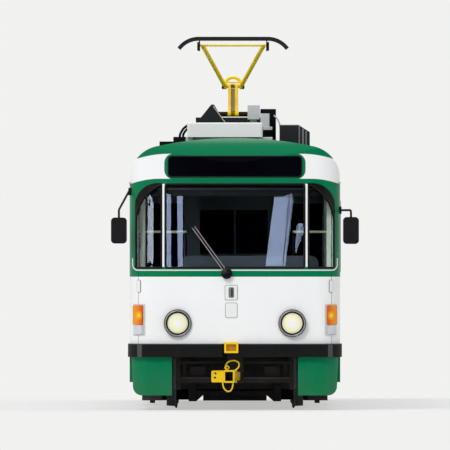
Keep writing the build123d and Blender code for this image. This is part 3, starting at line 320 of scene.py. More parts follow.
def leaf_colour(graph):
    """Green, dark in the panes: the way in from the jamb is jamb_off less the way to the doorway's middle."""
    x, y, z = graph.place()
    off = graph.size(y)
    off = graph.math("MINIMUM", off, graph.size(graph.less(off, doorway_pitch)))
    inward = graph.less(jamb_off, off)
    pane = graph.plus(graph.within(inward, 0.052, 0.277, 0.001), graph.within(inward, 0.377, 0.602, 0.001))
    pane = graph.times(pane, graph.within(z, 1.12, 2.44, 0.001))
    return graph.mix(pane, green, pane_black)


leaf_paint = finish("leaf_paint", leaf_colour, rough=0.3, bump=0.02, scale=120.0, film_amount=0.4, film_top=0.7,
                    coat=0.05, tint=0.03, shine=0.2)
dress(leaf_paint, *[name for name in nodes if name.endswith("_leaf")])

# Underframe, guards, bogie frames, motors and roof gear: welded and cast steel in near-black paint, chipped
# in places and dusty low down.
dark_steel = finish("dark_steel", (0.022, 0.022, 0.024), rough=0.5, bump=0.25, scale=180.0, film_amount=0.5,
                    chip=0.12, tint=0.15)
dress(dark_steel, "underframe", "equipment_boxes", "guard_frame", "lifeguard", "front_bogie_frame",
      "rear_bogie_frame", "front_motors", "rear_motors", "resistor_box", "pantograph_base")


# Bumpers: near-black rubber over a steel beam, bolted to both ends. A painted grey highlight runs over each
# corner, and a thin painted grey highlight runs along the top edge.
def bumper_colour(graph):
    """Black, with painted grey highlights where |x| lies within the corner band and, part grey, over the top
    edge.
    """
    x, y, z = graph.place()
    corner_highlight = graph.within(graph.size(x), 1.104, 1.159, 0.003)
    # Painted highlight along the top edge.
    edge = graph.times(graph.step(z, 0.772, 0.779), 0.7)
    return graph.mix(graph.larger(corner_highlight, edge), black, (0.075, 0.075, 0.078))


bumper_rubber = finish("bumper_rubber", bumper_colour, rough=0.55, bump=0.2, scale=600.0, film_amount=0.1,
                       film_top=1.0, tint=0.1, shine=0.08)
dress(bumper_rubber, "front_bumper", "rear_bumper")

# Wheelsets: forged steel, bright where the wheels roll and dark brown elsewhere. The axles stand 0.95 m from
# a bogie's pivot, which is 3.2 m from the middle of the car, and 0.377 m up.
pivot_y = 3.2
axle_off = 0.95
axle_z = 0.377


def tread_colour(graph):
    """Bright past the tread's edge, by the reach from the nearest axle's line: sqrt(dy^2 + dz^2)."""
    x, y, z = graph.place()
    from_axle = graph.less(graph.size(graph.less(graph.size(y), pivot_y)), axle_off)
    reach = graph.reach(from_axle, graph.less(z, axle_z))
    return graph.mix(graph.step(reach, 0.335, 0.342), (0.020, 0.018, 0.018), (0.11, 0.11, 0.115))


wheel_steel = finish("wheel_steel", tread_colour, rough=0.42, metal=0.3, bump=0.2, scale=90.0, tint=0.12)
dress(wheel_steel, *[name for name in nodes if name.endswith("_wheelset")])

# Yellow gear: the cast frames of the towing sockets in the bumpers in gloss enamel, and the tubes of the
# pantograph's upper arm in a brighter copy of that yellow, painted light that lifts the shade on the arms'
# undersides.
yellow_enamel = finish("yellow_enamel", (0.92, 0.62, 0.012), rough=0.3, scale=200.0, coat=0.1)
dress(yellow_enamel, "bumper_sockets")
# Painted light: a brighter copy of the yellow enamel, for the arms' shaded undersides.
lit_arm_yellow = finish("lit_arm_yellow", (1.0, 0.74, 0.02), rough=0.35, bump=0.0, tint=0.03, shine=0.08)
dress(lit_arm_yellow, "upper_arm")

# Couplers: folding drawbars of welded plate, yellow outside and dark inside the open box. They rest swung 11
# degrees aside on a pin 6.53 m from the middle of the car.
swing = radians(11)
coupler_pin_y = 6.53


def coupler_colour(graph):
    """Dark where the way across the swung bar, x cos a + (|y| - pin) sin a, is within 47 mm, past the pin."""
    x, y, z = graph.place()
    ahead = graph.less(graph.size(y), coupler_pin_y)
    off = graph.plus(graph.times(x, cos(swing)), graph.times(ahead, sin(swing)))
    inside = graph.times(graph.within(off, -0.0475, 0.0475, 0.001), graph.within(z, 0.345, 0.455, 0.001))
    inside = graph.times(inside, graph.math("GREATER_THAN", ahead, 0.17))
    return graph.mix(inside, (0.90, 0.58, 0.012), (0.05, 0.024, 0.003))


coupler_enamel = finish("coupler_enamel", coupler_colour, rough=0.35, bump=0.2, scale=200.0, chip=0.2,
                        coat=0.05, tint=0.1, under=(0.10, 0.05, 0.01))
dress(coupler_enamel, "front_coupler", "rear_coupler")


# Lower arm of the pantograph: a yellow steel channel on a dark shaft. Its web, between two bright flanges, is
# painted darker yellow as painted shade.
def arm_colour(graph):
    """Yellow, dark yellow painted shade where x lies within the web, and near black over the ends of the shaft.
    """
    x, y, z = graph.place()
    shaded_web = graph.within(x, -0.047, 0.001, 0.001)
    shaft = graph.times(graph.math("LESS_THAN", z, 3.565),
                        graph.math("GREATER_THAN", graph.size(graph.plus(x, 0.02)), 0.066))
    return graph.mix(shaft, graph.mix(shaded_web, (0.95, 0.63, 0.012), (0.20, 0.13, 0.0)), (0.03, 0.02, 0.006))


arm_enamel = finish("arm_enamel", arm_colour, rough=0.3, scale=200.0, chip=0.03, tint=0.08,
                    under=(0.12, 0.05, 0.02), shine=0.03)
dress(arm_enamel, "lower_arm")

# Collector head, mirrors and wiper: black carbon strips on dark bars, and black moulded plastic on
# black bars.
carbon = finish("carbon", (0.022, 0.019, 0.02), rough=0.45, bump=0.2, scale=300.0, tint=0.2)
dress(carbon, "collector_head")
mirror_shell = finish("mirror_shell", (0.011, 0.011, 0.012), rough=0.42, bump=0.25, scale=900.0, tint=0.08)
dress(mirror_shell, "mirrors", "wiper")

# Roof boxes and display: the equipment box is white moulded plastic, the cabinets beside the pantograph are
# grey painted steel, and the destination display is a blank dark pane.
white_gelcoat = finish("white_gelcoat", (0.97, 0.92, 0.94), rough=0.35, bump=0.05, scale=150.0, tint=0.04)
dress(white_gelcoat, "roof_box")
cabinet_grey = finish("cabinet_grey", (0.58, 0.58, 0.60), rough=0.45, scale=200.0, chip=0.05,
                      under=(0.2, 0.19, 0.18))
dress(cabinet_grey, "roof_cabinets")
sign_black = finish("sign_black", (0.001, 0.001, 0.003), rough=0.2, bump=0.0, tint=0.05, shine=0.03)
dress(sign_black, "destination_display")

# Interior: dark laminate on the cab partition, a moulded desk, rubber flooring, red moulded seats,
# black vinyl on the driver's seat and yellow enamelled grab poles.
laminate = finish("laminate", (0.066, 0.072, 0.080), rough=0.5, scale=700.0, tint=0.05)
dress(laminate, "cab_partition")
desk_plastic = finish("desk_plastic", (0.072, 0.076, 0.090), rough=0.55, bump=0.3, scale=900.0, tint=0.05)
dress(desk_plastic, "driver_desk")
floor_rubber = finish("floor_rubber", (0.06, 0.06, 0.065), rough=0.7, bump=0.5, scale=250.0, tint=0.2)
dress(floor_rubber, "floor", "step_wells")
seat_shell = finish("seat_shell", (0.30, 0.055, 0.03), bump=0.15, scale=500.0)
dress(seat_shell, "left_seats", "right_seats")
cab_vinyl = finish("cab_vinyl", (0.02, 0.02, 0.022), rough=0.5, bump=0.3, scale=600.0)
dress(cab_vinyl, "driver_seat")
dress(yellow_enamel, "grab_poles")

# Glazing: toughened glass with a faint green tint. Rays that look for a lamp pass straight through, so that
# the saloon is lit, and all others bend in it.
glass_tint = (0.80, 0.88, 0.88)
window_glass, graph, shader, surface = new_material("window_glass")
graph.fill(shader, {"Base Color": glass_tint, "Roughness": 0.0, "Transmission Weight": 1.0, "IOR": 1.45})
through = graph.node("BsdfTransparent", {"Color": tuple(c**0.5 for c in glass_tint)})
lamp_ray = graph.node("LightPath").outputs["Is Shadow Ray"]
mixed = graph.node("MixShader", {0: lamp_ray, 1: shader.outputs[0], 2: through.outputs[0]})
graph.feed(surface, mixed.outputs[0])
dress(window_glass, "windscreen", "rear_window", "left_windows", "right_windows")

# Lamp bodies: the headlamps sit in black castings, and the tail lamps are red moulded glass.
# The lenses and rims on them come further down.
lamp_cast = finish("lamp_cast", (0.012, 0.012, 0.013))
dress(lamp_cast, "headlamps")
red_glass = finish("red_glass", (0.5, 0.01, 0.01), rough=0.15, coat=0.5)
dress(red_glass, "tail_lamps")

# Screen rubbers. A black extruded rubber holds each pane of both end screens in its opening: it grips the
# edge of the skin and the glass, and stands a little proud of the paint. One closed loop for each pane.
seal_rubber = finish("seal_rubber", (0.006, 0.006, 0.007), rough=0.5, bump=0.15, scale=500.0, tint=0.1)
pane_half = 0.834
corner_inner = 0.864
corner_edge = 1.184
arc_foot = 2.230
screen_head = 2.688
seal_section = np.array([(-0.003, -0.001), (0.003, -0.015), (0.019, -0.015), (0.021, -0.010), (0.016, 0.002),
                         (0.010, 0.006), (0.001, 0.005), (-0.003, 0.002)])
rake_slope = 190 / 1090
crease = radians(35)


def nose_y(x, z):
    """Front skin: y = -0.44 - sqrt(6.5^2 - x^2), past x = 0.969 an arc of 0.33, raked by rake_slope above
    1.6 m, and over 2.873 m the dome's arc of 0.43 round y = -6.2995, z = 2.799 where that lies further in."""
    x = np.abs(x)
    bow = -0.44 - np.sqrt(6.5**2 - np.minimum(x, 0.969)**2)
    corner = -6.541 - np.sqrt(np.maximum(0.33**2 - np.maximum(x - 0.92, 0.0)**2, 0.0))
    y = np.where(x <= 0.969, bow, corner) + np.maximum(z - 1.6, 0.0) * rake_slope
    dome = -6.2995 - np.sqrt(np.maximum(0.43**2 - np.maximum(z - 2.799, 0.0)**2, 0.0))
    return np.where(z > 2.873, np.maximum(y, dome), y)


def nose_normal(x, z):
    """Outward normal of the front skin: the slopes give (y_x, -1, y_z), made one long."""
    step = 1e-4
    slope = np.stack([(nose_y(x + step, z) - nose_y(x - step, z)) / (2 * step), -np.ones_like(x),
                      (nose_y(x, z + step) - nose_y(x, z - step)) / (2 * step)], -1)
    return slope / np.linalg.norm(slope, axis=-1, keepdims=True)


def on_nose(x, z, out=0.0):
    """Point off the front skin: (x, nose_y, z) + out * normal."""
    out = np.broadcast_to(out, x.shape)
    return np.stack([x, nose_y(x, z), z], -1) + nose_normal(x, z) * out[..., None]


def along(points, gap):
    """Even points along a line: the length so far is the parameter, read off at equal steps."""
    points = np.asarray(points, float)
    length = np.append(0.0, np.cumsum(np.linalg.norm(np.diff(points, axis=0), axis=1)))
    at = np.linspace(0, length[-1], max(int(length[-1] / gap), 2) + 1)
    return np.stack([np.interp(at, length, column) for column in points.T], -1)


def shell_of(grid, looped=False):
    """Closed shell over a grid of rings: quads between rings, and a face over each end unless looped."""
    rows, columns = grid.shape[:2]
    i = np.arange(rows if looped else rows - 1)[:, None]
    j = np.arange(columns)[None, :]
    right = (j + 1) % columns
    above = (i + 1) % rows
    quads = np.stack([i * columns + j, i * columns + right, above * columns + right, above * columns + j], -1)
    loops, totals = quads.ravel(), np.full(quads.size // 4, 4)
    if not looped:
        ring = np.arange(columns)
        loops = np.concatenate([loops, ring[::-1], ring + (rows - 1) * columns])
        totals = np.append(totals, [columns, columns])
    return grid.reshape(-1, 3), loops, totals


def carried(path, section, up, looped=False):
    """Section carried along a path: point = path + side * s0 + lift * s1, with side = up x tangent."""
    ahead = np.roll(path, -1, 0) - np.roll(path, 1, 0)
    if not looped:
        ahead[0] = path[1] - path[0]
        ahead[-1] = path[-1] - path[-2]
    side = np.cross(np.broadcast_to(up, path.shape), ahead)
    side /= np.linalg.norm(side, axis=1, keepdims=True)
    lift = np.cross(ahead, side)
    lift /= np.linalg.norm(lift, axis=1, keepdims=True)
    grid = path[:, None] + side[:, None] * section[None, :, :1] + lift[:, None] * section[None, :, 1:]
    return shell_of(grid, looped)


def mirrored(shape, axis):
    """The shape on the other side of the plane across an axis, with its faces turned to point out again."""
    points, loops, totals = shape
    return points * np.where(np.arange(3) == axis, -1, 1), loops[::-1], totals[::-1]


def moved(shape, shift):
    """The shape shifted by a vector."""
    return shape[0] + np.asarray(shift), shape[1], shape[2]


def fit(name, body, material, shapes):
    """One mesh of several shapes, smooth up to the crease angle, with its finish, riding on a body."""
    count = np.cumsum([0] + [len(points) for points, loops, totals in shapes])
    points = np.concatenate([shape[0] for shape in shapes])
    loops = np.concatenate([shape[1] + start for shape, start in zip(shapes, count)])
    totals = np.concatenate([shape[2] for shape in shapes])
    mesh = bpy.data.meshes.new(name)
    mesh.vertices.add(len(points))
    mesh.vertices.foreach_set("co", points.ravel())
    mesh.loops.add(len(loops))
    mesh.loops.foreach_set("vertex_index", loops)
    mesh.polygons.add(len(totals))
    mesh.polygons.foreach_set("loop_start", np.cumsum(totals) - totals)
    mesh.update(calc_edges=True)
    mesh.polygons.foreach_set("use_smooth", np.ones(len(totals), bool))
    mesh.set_sharp_from_angle(angle=crease)
    mesh.materials.append(material)
    piece = bpy.data.objects.new(name, mesh)
    bpy.context.scene.collection.objects.link(piece)
    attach(piece, body)


def rounded(half_u, half_v, radius, arc=6):
    """Rounded rectangle, counterclockwise: each corner is centre + radius (cos a, sin a) over a quarter."""
    turn = np.linspace(0, pi / 2, arc)[None] + np.arange(4)[:, None] * pi / 2
    centre = np.array([(1, 1), (-1, 1), (-1, -1), (1, -1)])[:, None] * (half_u - radius, half_v - radius)
    return (centre + radius * np.stack([np.cos(turn), np.sin(turn)], -1)).reshape(-1, 2)


def corner_pane(foot):
    """Outline of a right corner pane: straight foot and sides, and an arc from the edge to the header, whose
    radius is (w^2 + h^2) / 2w for an arc w wide and h high."""
    wide, high = corner_edge - corner_inner, screen_head - arc_foot
    bend = (wide**2 + high**2) / (2 * wide)
    turn = np.linspace(0, asin(high / bend), 16)
    arc = np.column_stack([corner_edge - bend + bend * np.cos(turn), arc_foot + bend * np.sin(turn)])
    return np.vstack([[(corner_inner, foot), (corner_edge, foot)], arc, [(corner_inner, foot)]])


def nose_strip(flat, section, looped=False):
    """Strip carried on the skin along points of x and z."""
    return carried(on_nose(flat[:, 0], flat[:, 1]), section, nose_normal(flat[:, 0], flat[:, 1]), looped)


def nose_seal(outline):
    """Rubber round one opening of the nose, on points 20 mm apart."""
    return nose_strip(along(outline, 0.02)[:-1], seal_section, True)


seals = []
for foot, sign in ((1.680, 1), (1.760, -1)):
    middle = (foot + screen_head) / 2
    centre = rounded(pane_half, (screen_head - foot) / 2, 0.03) + (0, middle)
    loops_here = [nose_seal(np.vstack([centre, centre[:1]])), nose_seal(corner_pane(foot))]
    loops_here.append(mirrored(loops_here[1], 0))
    seals += loops_here if sign > 0 else [mirrored(shape, 1) for shape in loops_here]
fit("screen_rubbers", "car", seal_rubber, seals)

# Waist trim. A white plastic bead runs under the windscreen and turns up round its lower corners.
# It is a half-round strip pressed on the skin, 15 mm wide.
white_plastic = finish("white_plastic", (0.84, 0.84, 0.83), rough=0.35, bump=0.05, scale=300.0, tint=0.04)


def circle(count, start=0.0, end=2 * pi, closed=False):
    """Points (cos a, sin a) from one angle to another, with the last one only where closed."""
    turn = np.linspace(start, end, count, endpoint=closed)
    return np.column_stack([np.cos(turn), np.sin(turn)])


bead = np.vstack([[(0.0, 1.659)], (1.150, 1.721) + 0.062 * circle(10, -pi / 2, 0, True), [(1.213, 1.80)]])
bead = along(np.vstack([bead[::-1] * (-1, 1), bead[1:]]), 0.015)
half_round = circle(7, 0, pi, True)
fit("waist_trim", "car", white_plastic, [nose_strip(bead, half_round * (0.0075, 0.006))])

# Rain gutters. A white enamelled strip over the windows runs the length of both sides and ends on the
# front corners in a small rounded nose.
gutter_ys = np.linspace(-6.52, 6.52, 90)
gutter_line = np.column_stack([np.full(90, 1.248), gutter_ys, np.full(90, 2.692)])
gutter_section = np.array([(-0.016, -0.001), (0.016, -0.001), (0.014, 0.012), (0.006, 0.018), (-0.006, 0.018),
                           (-0.014, 0.010)])
gutter = carried(gutter_line, gutter_section, (1, 0, 0))
fit("rain_gutters", "car", white_plastic, [gutter, mirrored(gutter, 0)])

# Destination box frame. A thin black rubber moulding holds the glass of the display in the roof dome. It is
# one closed loop, pressed on the skin.
sign_outline = rounded(0.790, 0.122, 0.04) + (0, 2.888)
sign_path = along(np.vstack([sign_outline, sign_outline[:1]]), 0.02)[:-1]
fit("display_frame", "car", seal_rubber, [nose_strip(sign_path, half_round * (0.009, 0.007), True)])

# Flat things on the nose: hinge covers, the handle plate, the blank cover. Each is a moulded plate with
# rounded corners and a soft edge, screwed on the skin over a thin dark gasket.
soft_edge = [(0.0, 0.0), (0.0, 0.55), (0.12, 0.85), (0.35, 1.0)]


def plate_on_nose(x, z, half_x, half_z, radius, out, edge=0.006):
    """Plate on the skin round x and z: rings of a rounded rectangle drawn in by edge * e, out * h off it."""
    rings = [rounded(half_x - edge * e, half_z - edge * e, max(radius - edge * e, 0.001)) for e, h in soft_edge]
    rings = [(ring, h) for ring, (e, h) in zip(rings, soft_edge)]
    rings += [(rings[-1][0] * share, 1.0) for share in (0.8, 0.6, 0.4, 0.2, 0.02)]
    return shell_of(np.stack([on_nose(x + ring[:, 0], z + ring[:, 1], out * h - 0.001 * (h == 0))
                              for ring, h in rings]))


hinge_x, hinge_z = 1.138, 1.468
handle_x, handle_z = -0.043, 1.394
blank_z = 1.183
gaskets = [plate_on_nose(x, hinge_z, 0.0245, 0.079, 0.0245, 0.003) for x in (-hinge_x, hinge_x)]
gaskets += [plate_on_nose(handle_x, handle_z, 0.077, 0.090, 0.018, 0.003),
            plate_on_nose(handle_x, blank_z, 0.073, 0.0905, 0.022, 0.0025)]
covers = [plate_on_nose(x, hinge_z, 0.0185, 0.073, 0.0185, 0.010) for x in (-hinge_x, hinge_x)]
covers.append(plate_on_nose(handle_x, blank_z, 0.0685, 0.086, 0.019, 0.006))
grey_gasket = finish("grey_gasket", (0.09, 0.09, 0.09), rough=0.6)
fit("nose_gaskets", "car", grey_gasket, gaskets)
nose_white = finish("nose_white", (0.88, 0.88, 0.875), rough=0.3, bump=0.02, scale=120.0, coat=0.5, tint=0.03)
fit("nose_covers", "car", nose_white, covers)

# Handle plate: a white enamelled frame round a shallow grey cup, with a dark bar handle standing in it. It
# is screwed on the skin beside the middle of the nose.
frame_ring = rounded(0.072, 0.085, 0.015)
cup_ring = rounded(0.031, 0.062, 0.014)
rows = [(frame_ring, 0.0), (frame_ring, 0.006), (frame_ring * 0.93, 0.010), (cup_ring * 1.1, 0.010),
        (cup_ring, 0.006), (cup_ring * 0.97, 0.0015)]
grid = np.stack([on_nose(handle_x + ring[:, 0], handle_z + ring[:, 1], h) for ring, h in rows])
fit("handle_plate", "car", nose_white, [shell_of(grid)])
cup_grey = finish("cup_grey", (0.22, 0.22, 0.23), rough=0.45)
fit("handle_cup", "car", cup_grey, [plate_on_nose(handle_x, handle_z, 0.028, 0.058, 0.012, 0.004, 0.002)])
fit("door_handle", "car", mirror_shell, [plate_on_nose(-0.037, handle_z, 0.0065, 0.050, 0.006, 0.022, 0.002)])


# Headlamps: two thin grey beads and two black rubber rings on the black casting, and the fluted lens. The lens
# is painted with the glow of a lit lamp, cream and darker towards its edge; it gives off no light.
def on_plane(origin, u, v):
    """Placement on a plane: (a, b, h) goes to origin + a u + b v + h (u x v)."""
    u, v = np.asarray(u, float), np.asarray(v, float)
    out = np.cross(u, v)

    def put(a, b, h):
        a, b, h = np.broadcast_arrays(a, b, h)
        return np.asarray(origin) + a[..., None] * u + b[..., None] * v + h[..., None] * out
    return put


def turned(put, profile, sides=48):
    """Profile of radius and height turned round the placement's h axis: (r cos a, r sin a, h)."""
    profile = np.asarray(profile, float)
    turn = np.linspace(0, 2 * pi, sides, endpoint=False)
    return shell_of(put(profile[:, :1] * np.cos(turn), profile[:, :1] * np.sin(turn), profile[:, 1:]))


def hoop(put, radius, section):
    """Ring round the h axis: the section's points are distance from radius and height."""
    turn = np.linspace(0, 2 * pi, 64, endpoint=False)[:, None]
    reach = radius + section[None, :, 0]
    grid = put(reach * np.cos(turn), reach * np.sin(turn), section[None, :, 1] + 0 * turn)
    points, loops, totals = shell_of(grid, True)
    return points, loops[::-1], totals[::-1]


lamp_x, lamp_z, lamp_y = 0.679, 1.031, -6.942
lens_radius = 0.122
round_section = circle(12)
rim_grey = finish("rim_grey", (0.50, 0.50, 0.51), rough=0.3, metal=0.2)
lamp_places = [on_plane((s * lamp_x, lamp_y, lamp_z), (1, 0, 0), (0, 0, 1)) for s in (-1, 1)]
fit("headlamp_rims", "car", rim_grey,
    [hoop(put, radius, round_section * size) for put in lamp_places
     for radius, size in ((0.1450, (0.0045, 0.008)), (0.1560, (0.003, 0.005)))])
fit("headlamp_rings", "car", seal_rubber,
    [hoop(put, radius, round_section * size) for put in lamp_places
     for radius, size in ((0.1275, (0.0065, 0.009)), (0.1605, (0.0045, 0.006)))])


def lamp_glow_colour(graph):
    """Painted glow of a lit lamp: near white on the lamp's axis, cream by 75 mm from it and a warmer cream at
    the edge.
    """
    x, y, z = graph.place()
    across = graph.less(graph.size(x), lamp_x)
    up = graph.less(z, lamp_z)
    reach = graph.reach(across, up)
    middle = graph.mix(graph.step(reach, 0.02, 0.075), (0.96, 0.94, 0.92), (0.94, 0.93, 0.66))
    return graph.mix(graph.step(reach, 0.085, 0.120), middle, (0.80, 0.76, 0.46))


lens_glow_paint = finish("lens_glow_paint", lamp_glow_colour, rough=0.2, bump=0.15, scale=60.0, coat=0.1, tint=0.02)
dome = [(r, 0.012 * (1 - (r / lens_radius)**2) - 0.001) for r in np.linspace(0.121, 0.01, 12)]
dome = [(0.121, -0.012)] + dome + [(0.001, 0.012)]
fit("headlamp_lenses", "car", lens_glow_paint, [turned(put, dome) for put in lamp_places])

# Corner lamps. One grey-white base on each front corner carries an amber indicator over a clear side lamp.
# Both are pressed plastic boxes with soft edges, and the indicator is painted with a glow as of a lit filament,
# a warm spot.
base_grey = finish("base_grey", (0.62, 0.62, 0.64), bump=0.05, tint=0.05)
dress(base_grey, "corner_lamps")
glow_x, glow_z = 1.142, 1.122


def indicator_colour(graph):
    """Deep orange, warmer towards the outer edge, with a painted glow: a yellow spot that falls off over 55 mm.
    """
    x, y, z = graph.place()
    across = graph.less(graph.size(x), glow_x)
    up = graph.times(graph.less(z, glow_z), 0.8)
    reach = graph.reach(across, up)
    sides = graph.mix(graph.step(across, -0.05, 0.045), (0.72, 0.10, 0.0), (0.85, 0.30, 0.02))
    warm_glow = graph.mix(graph.step(reach, 0.055, 0.012), sides, (1.0, 0.48, 0.0))
    return graph.mix(graph.step(reach, 0.02, 0.0), warm_glow, (1.0, 0.9, 0.15))


indicator_amber = finish("indicator_amber", indicator_colour, rough=0.15, bump=0.35, scale=90.0, coat=0.15,
                         tint=0.02)
side_lamp_white = finish("side_lamp_white", (0.66, 0.66, 0.70), rough=0.15, bump=0.2, scale=90.0, coat=0.15,
                         tint=0.05)
indicators = [plate_on_nose(s * 1.137, 1.1285, 0.0535, 0.1170, 0.013, 0.032, 0.010) for s in (-1, 1)]
side_lamps = [plate_on_nose(s * 1.140, 0.9545, 0.0400, 0.0570, 0.014, 0.024, 0.008) for s in (-1, 1)]
fit("indicators", "car", indicator_amber, indicators)
fit("side_lamps", "car", side_lamp_white, side_lamps)

# Tail lamps: a black rubber ring and a domed red lens with rings moulded in it. Four of them stand on the
# rear end, two above each other on either side.
tail_radius = 0.061
tail_places = [on_plane((x, 6.934, z), (-1, 0, 0), (0, 0, 1)) for x in (-0.8, 0.8) for z in (0.960, 1.160)]
tail_red = finish("tail_red", (0.42, 0.006, 0.006), rough=0.12, bump=0.4, scale=110.0, coat=0.6, tint=0.03)
reach = np.linspace(tail_radius, 0.001, 22)
tail_dome = np.column_stack([reach, 0.010 - 2.4 * reach**2 + 0.0008 * np.cos(reach * 900)])
tail_dome = np.vstack([[(tail_radius, -0.010)], tail_dome])
fit("tail_lenses", "car", tail_red, [turned(put, tail_dome) for put in tail_places])
fit("tail_rims", "car", seal_rubber, [hoop(put, 0.069, round_section * (0.007, 0.006)) for put in tail_places])

# Cab interior behind the windscreen: near-black opaque panes in the partition, painted shade that stands in for
# the dark saloon behind them, a blind box under the header, cream post linings beside the corner panes and two
# cream hand rails.
painted_shade_panes = finish("painted_shade_panes", (0.001, 0.001, 0.009), rough=0.25, bump=0.0, tint=0.05, shine=0.0)


def block(low, high, radius=0.008, bevel=0.004):
    """Box between two corners with rounded upright edges: rings drawn in by the bevel at foot and head."""
    low, high = np.asarray(low, float), np.asarray(high, float)
    half, middle = (high - low) / 2, (high + low) / 2
    rows = [(bevel, 0.0), (0.0, bevel), (0.0, 2 * half[2] - bevel), (bevel, 2 * half[2])]
    put = on_plane((middle[0], middle[1], low[2]), (1, 0, 0), (0, 1, 0))
    rings = [rounded(half[0] - inset, half[1] - inset, max(radius - inset, 0.001), 4) for inset, h in rows]
    return shell_of(np.stack([put(ring[:, 0], ring[:, 1], np.full(len(ring), h))
                              for ring, (inset, h) in zip(rings, rows)]))


def rod(points, radius, sides=12, up=(0.0, 0.0, 1.0), gap=0.05):
    """Round rod along a line: a circle carried on points a gap apart."""
    return carried(along(points, gap), circle(sides) * radius, up)


# Panes: the columns are middle, width, foot, head and y of the glass.
panes = [(-0.82, 0.42, 1.70, 2.45, -6.085), (-0.214, 0.40, 1.855, 2.374, -5.625),
         (0.20, 0.376, 1.855, 2.374, -5.625), (0.83, 0.42, 1.70, 2.45, -5.625)]
lap = 0.004
fit("partition_shade_panes", "car", painted_shade_panes,
    [block((x - wide / 2 - lap, y - 0.003, foot - lap),
           (x + wide / 2 + lap, y + 0.003, head + lap), 0.002, 0.001) for x, wide, foot, head, y in panes])
blind_black = finish("blind_black", (0.004, 0.004, 0.006), rough=0.6, bump=0.3, scale=700.0)
header = np.linspace(-1.06, 1.06, 30)


def header_shell(low, high, back, deep):
    """Bar across the inside of the screen: a box section whose corners lie at nose_y + y at their heights."""
    corners = [(back, low), (back + deep, low), (back + deep, high), (back, high)]
    rows = [np.column_stack([header, nose_y(header, z) + y, np.full(len(header), z)]) for y, z in corners]
    return shell_of(np.stack(rows, 1))


fit("blind_box", "car", blind_black, [header_shell(2.540, 2.715, 0.045, 0.07)])
blind_rail_grey = finish("blind_rail_grey", (0.035, 0.032, 0.036), metal=0.3, bump=0.05)
fit("blind_rail", "car", blind_rail_grey, [header_shell(2.612, 2.634, 0.036, 0.009)])
post_cream = finish("post_cream", (0.95, 0.94, 0.76), rough=0.5, tint=0.05)
fit("post_linings", "car", post_cream,
    [block((x, -6.43, 1.50), (x + wide, -6.39, 2.60)) for x, wide in ((-1.128, 0.061), (1.089, 0.053))])
post_grey = finish("post_grey", (0.70, 0.71, 0.74), rough=0.5, tint=0.05)
fit("post_edges", "car", post_grey,
    [block((x, -6.46, 1.50), (x + wide, -6.40, 2.58)) for x, wide in ((-1.173, 0.024), (1.151, 0.039))])
rail_cream = finish("rail_cream", (0.58, 0.55, 0.36), rough=0.35, coat=0.3, tint=0.05)
rail_y, rail_z = -6.36, 2.113
fit("cab_rails", "car", rail_cream,
    [rod([(x, rail_y, rail_z), (far, rail_y, rail_z)], 0.014) for x, far in ((-1.19, -0.575), (0.69, 1.19))])
fit("rail_stays", "car", blind_black,
    [rod([(x, rail_y, 1.48), (x, rail_y, rail_z)], 0.012, up=(0.0, 1.0, 0.0)) for x in (-0.578, 0.694)])

# Wiper: a domed black cap with a nut on the spindle, pale grey rods along the arm's two bars as painted
# highlights, and a rubber blade. All of it turns with the arm, which leans 35.5 degrees over the raked glass.
lean = radians(35.5)
rake = atan(rake_slope)
wiper_normal = np.array([0, -cos(rake), sin(rake)])
wiper_up = np.array([0, sin(rake), cos(rake)])
hub = np.array([-0.097, nose_front + 0.015 * rake_slope, 1.615])
arm_way = np.array([-sin(lean), 0, 0]) + cos(lean) * wiper_up
arm_across = np.cross(wiper_normal, arm_way)
cap_put = on_plane(hub + wiper_normal * 0.038, (1, 0, 0), wiper_up)
wiper_black = finish("wiper_black", (0.005, 0.005, 0.006), rough=0.35, coat=0.2)
fit("wiper_cap", "wiper_arm", wiper_black,
    [turned(cap_put, [(0.066, -0.004), (0.067, 0.002), (0.060, 0.007), (0.045, 0.011), (0.026, 0.013),
                      (0.024, 0.017), (0.018, 0.019), (0.001, 0.020)])])
# Painted highlights: pale grey rods that stand for the lit edges of the black arm's bars.
rod_highlight_grey = finish("rod_highlight_grey", (0.50, 0.48, 0.50), rough=0.3, metal=0.2, bump=0.05)
lines = [[hub + arm_across * s + wiper_normal * 0.034 + arm_way * a for a in (0.06, 0.68)]
         for s in (-0.018, 0.014)]
fit("wiper_highlight_rods", "wiper_arm", rod_highlight_grey, [rod(line, 0.0035, 8, wiper_normal, 0.1) for line in lines])
blade_line = along([hub + wiper_normal * 0.026 + arm_way * a for a in (0.235, 0.865)], 0.1)
blade_section = np.array([(-0.011, -0.002), (0.011, -0.002), (0.006, 0.006), (-0.006, 0.006)])
fit("wiper_blade", "wiper_arm", wiper_black, [carried(blade_line, blade_section, wiper_normal)])

# Side window rubbers and the top vents. The windows of the saloon are fixed panes in rubber with an
# aluminium rail at two thirds of their height, over which a small pane slides.
wall_x = 1.250
pane_wide, end_pane_wide = 1.13, 0.42
window_pitch = 1.29
left_ys = (np.arange(9) - 4) * window_pitch
right_ys = np.concatenate([middle + np.arange(-1, 2) * window_pitch for middle in (-2.7, 2.7)])
side_section = np.array([(-0.006, -0.001), (0.000, -0.015), (0.018, -0.015), (0.020, -0.010), (0.012, 0.003),
                         (0.001, 0.006), (-0.006, 0.004)])


def side_seal(y, width, foot=1.64, head=2.48, radius=0.11):
    """Rubber round a window of the left side wall, in the plane of the wall."""
    ring = rounded(width / 2, (head - foot) / 2, radius, 8) + (y, (foot + head) / 2)
    line = np.column_stack([np.full(len(ring), wall_x), ring])
    return carried(line, side_section, (1, 0, 0), True)


def top_vent(y):
    """Rail under a sliding top pane, and the upright in its middle."""
    return [block((1.2365, y - 0.55, 2.212), (1.2445, y + 0.55, 2.236), 0.003, 0.003),
            block((1.2365, y - 0.012, 2.236), (1.2425, y + 0.012, 2.465), 0.003, 0.003)]


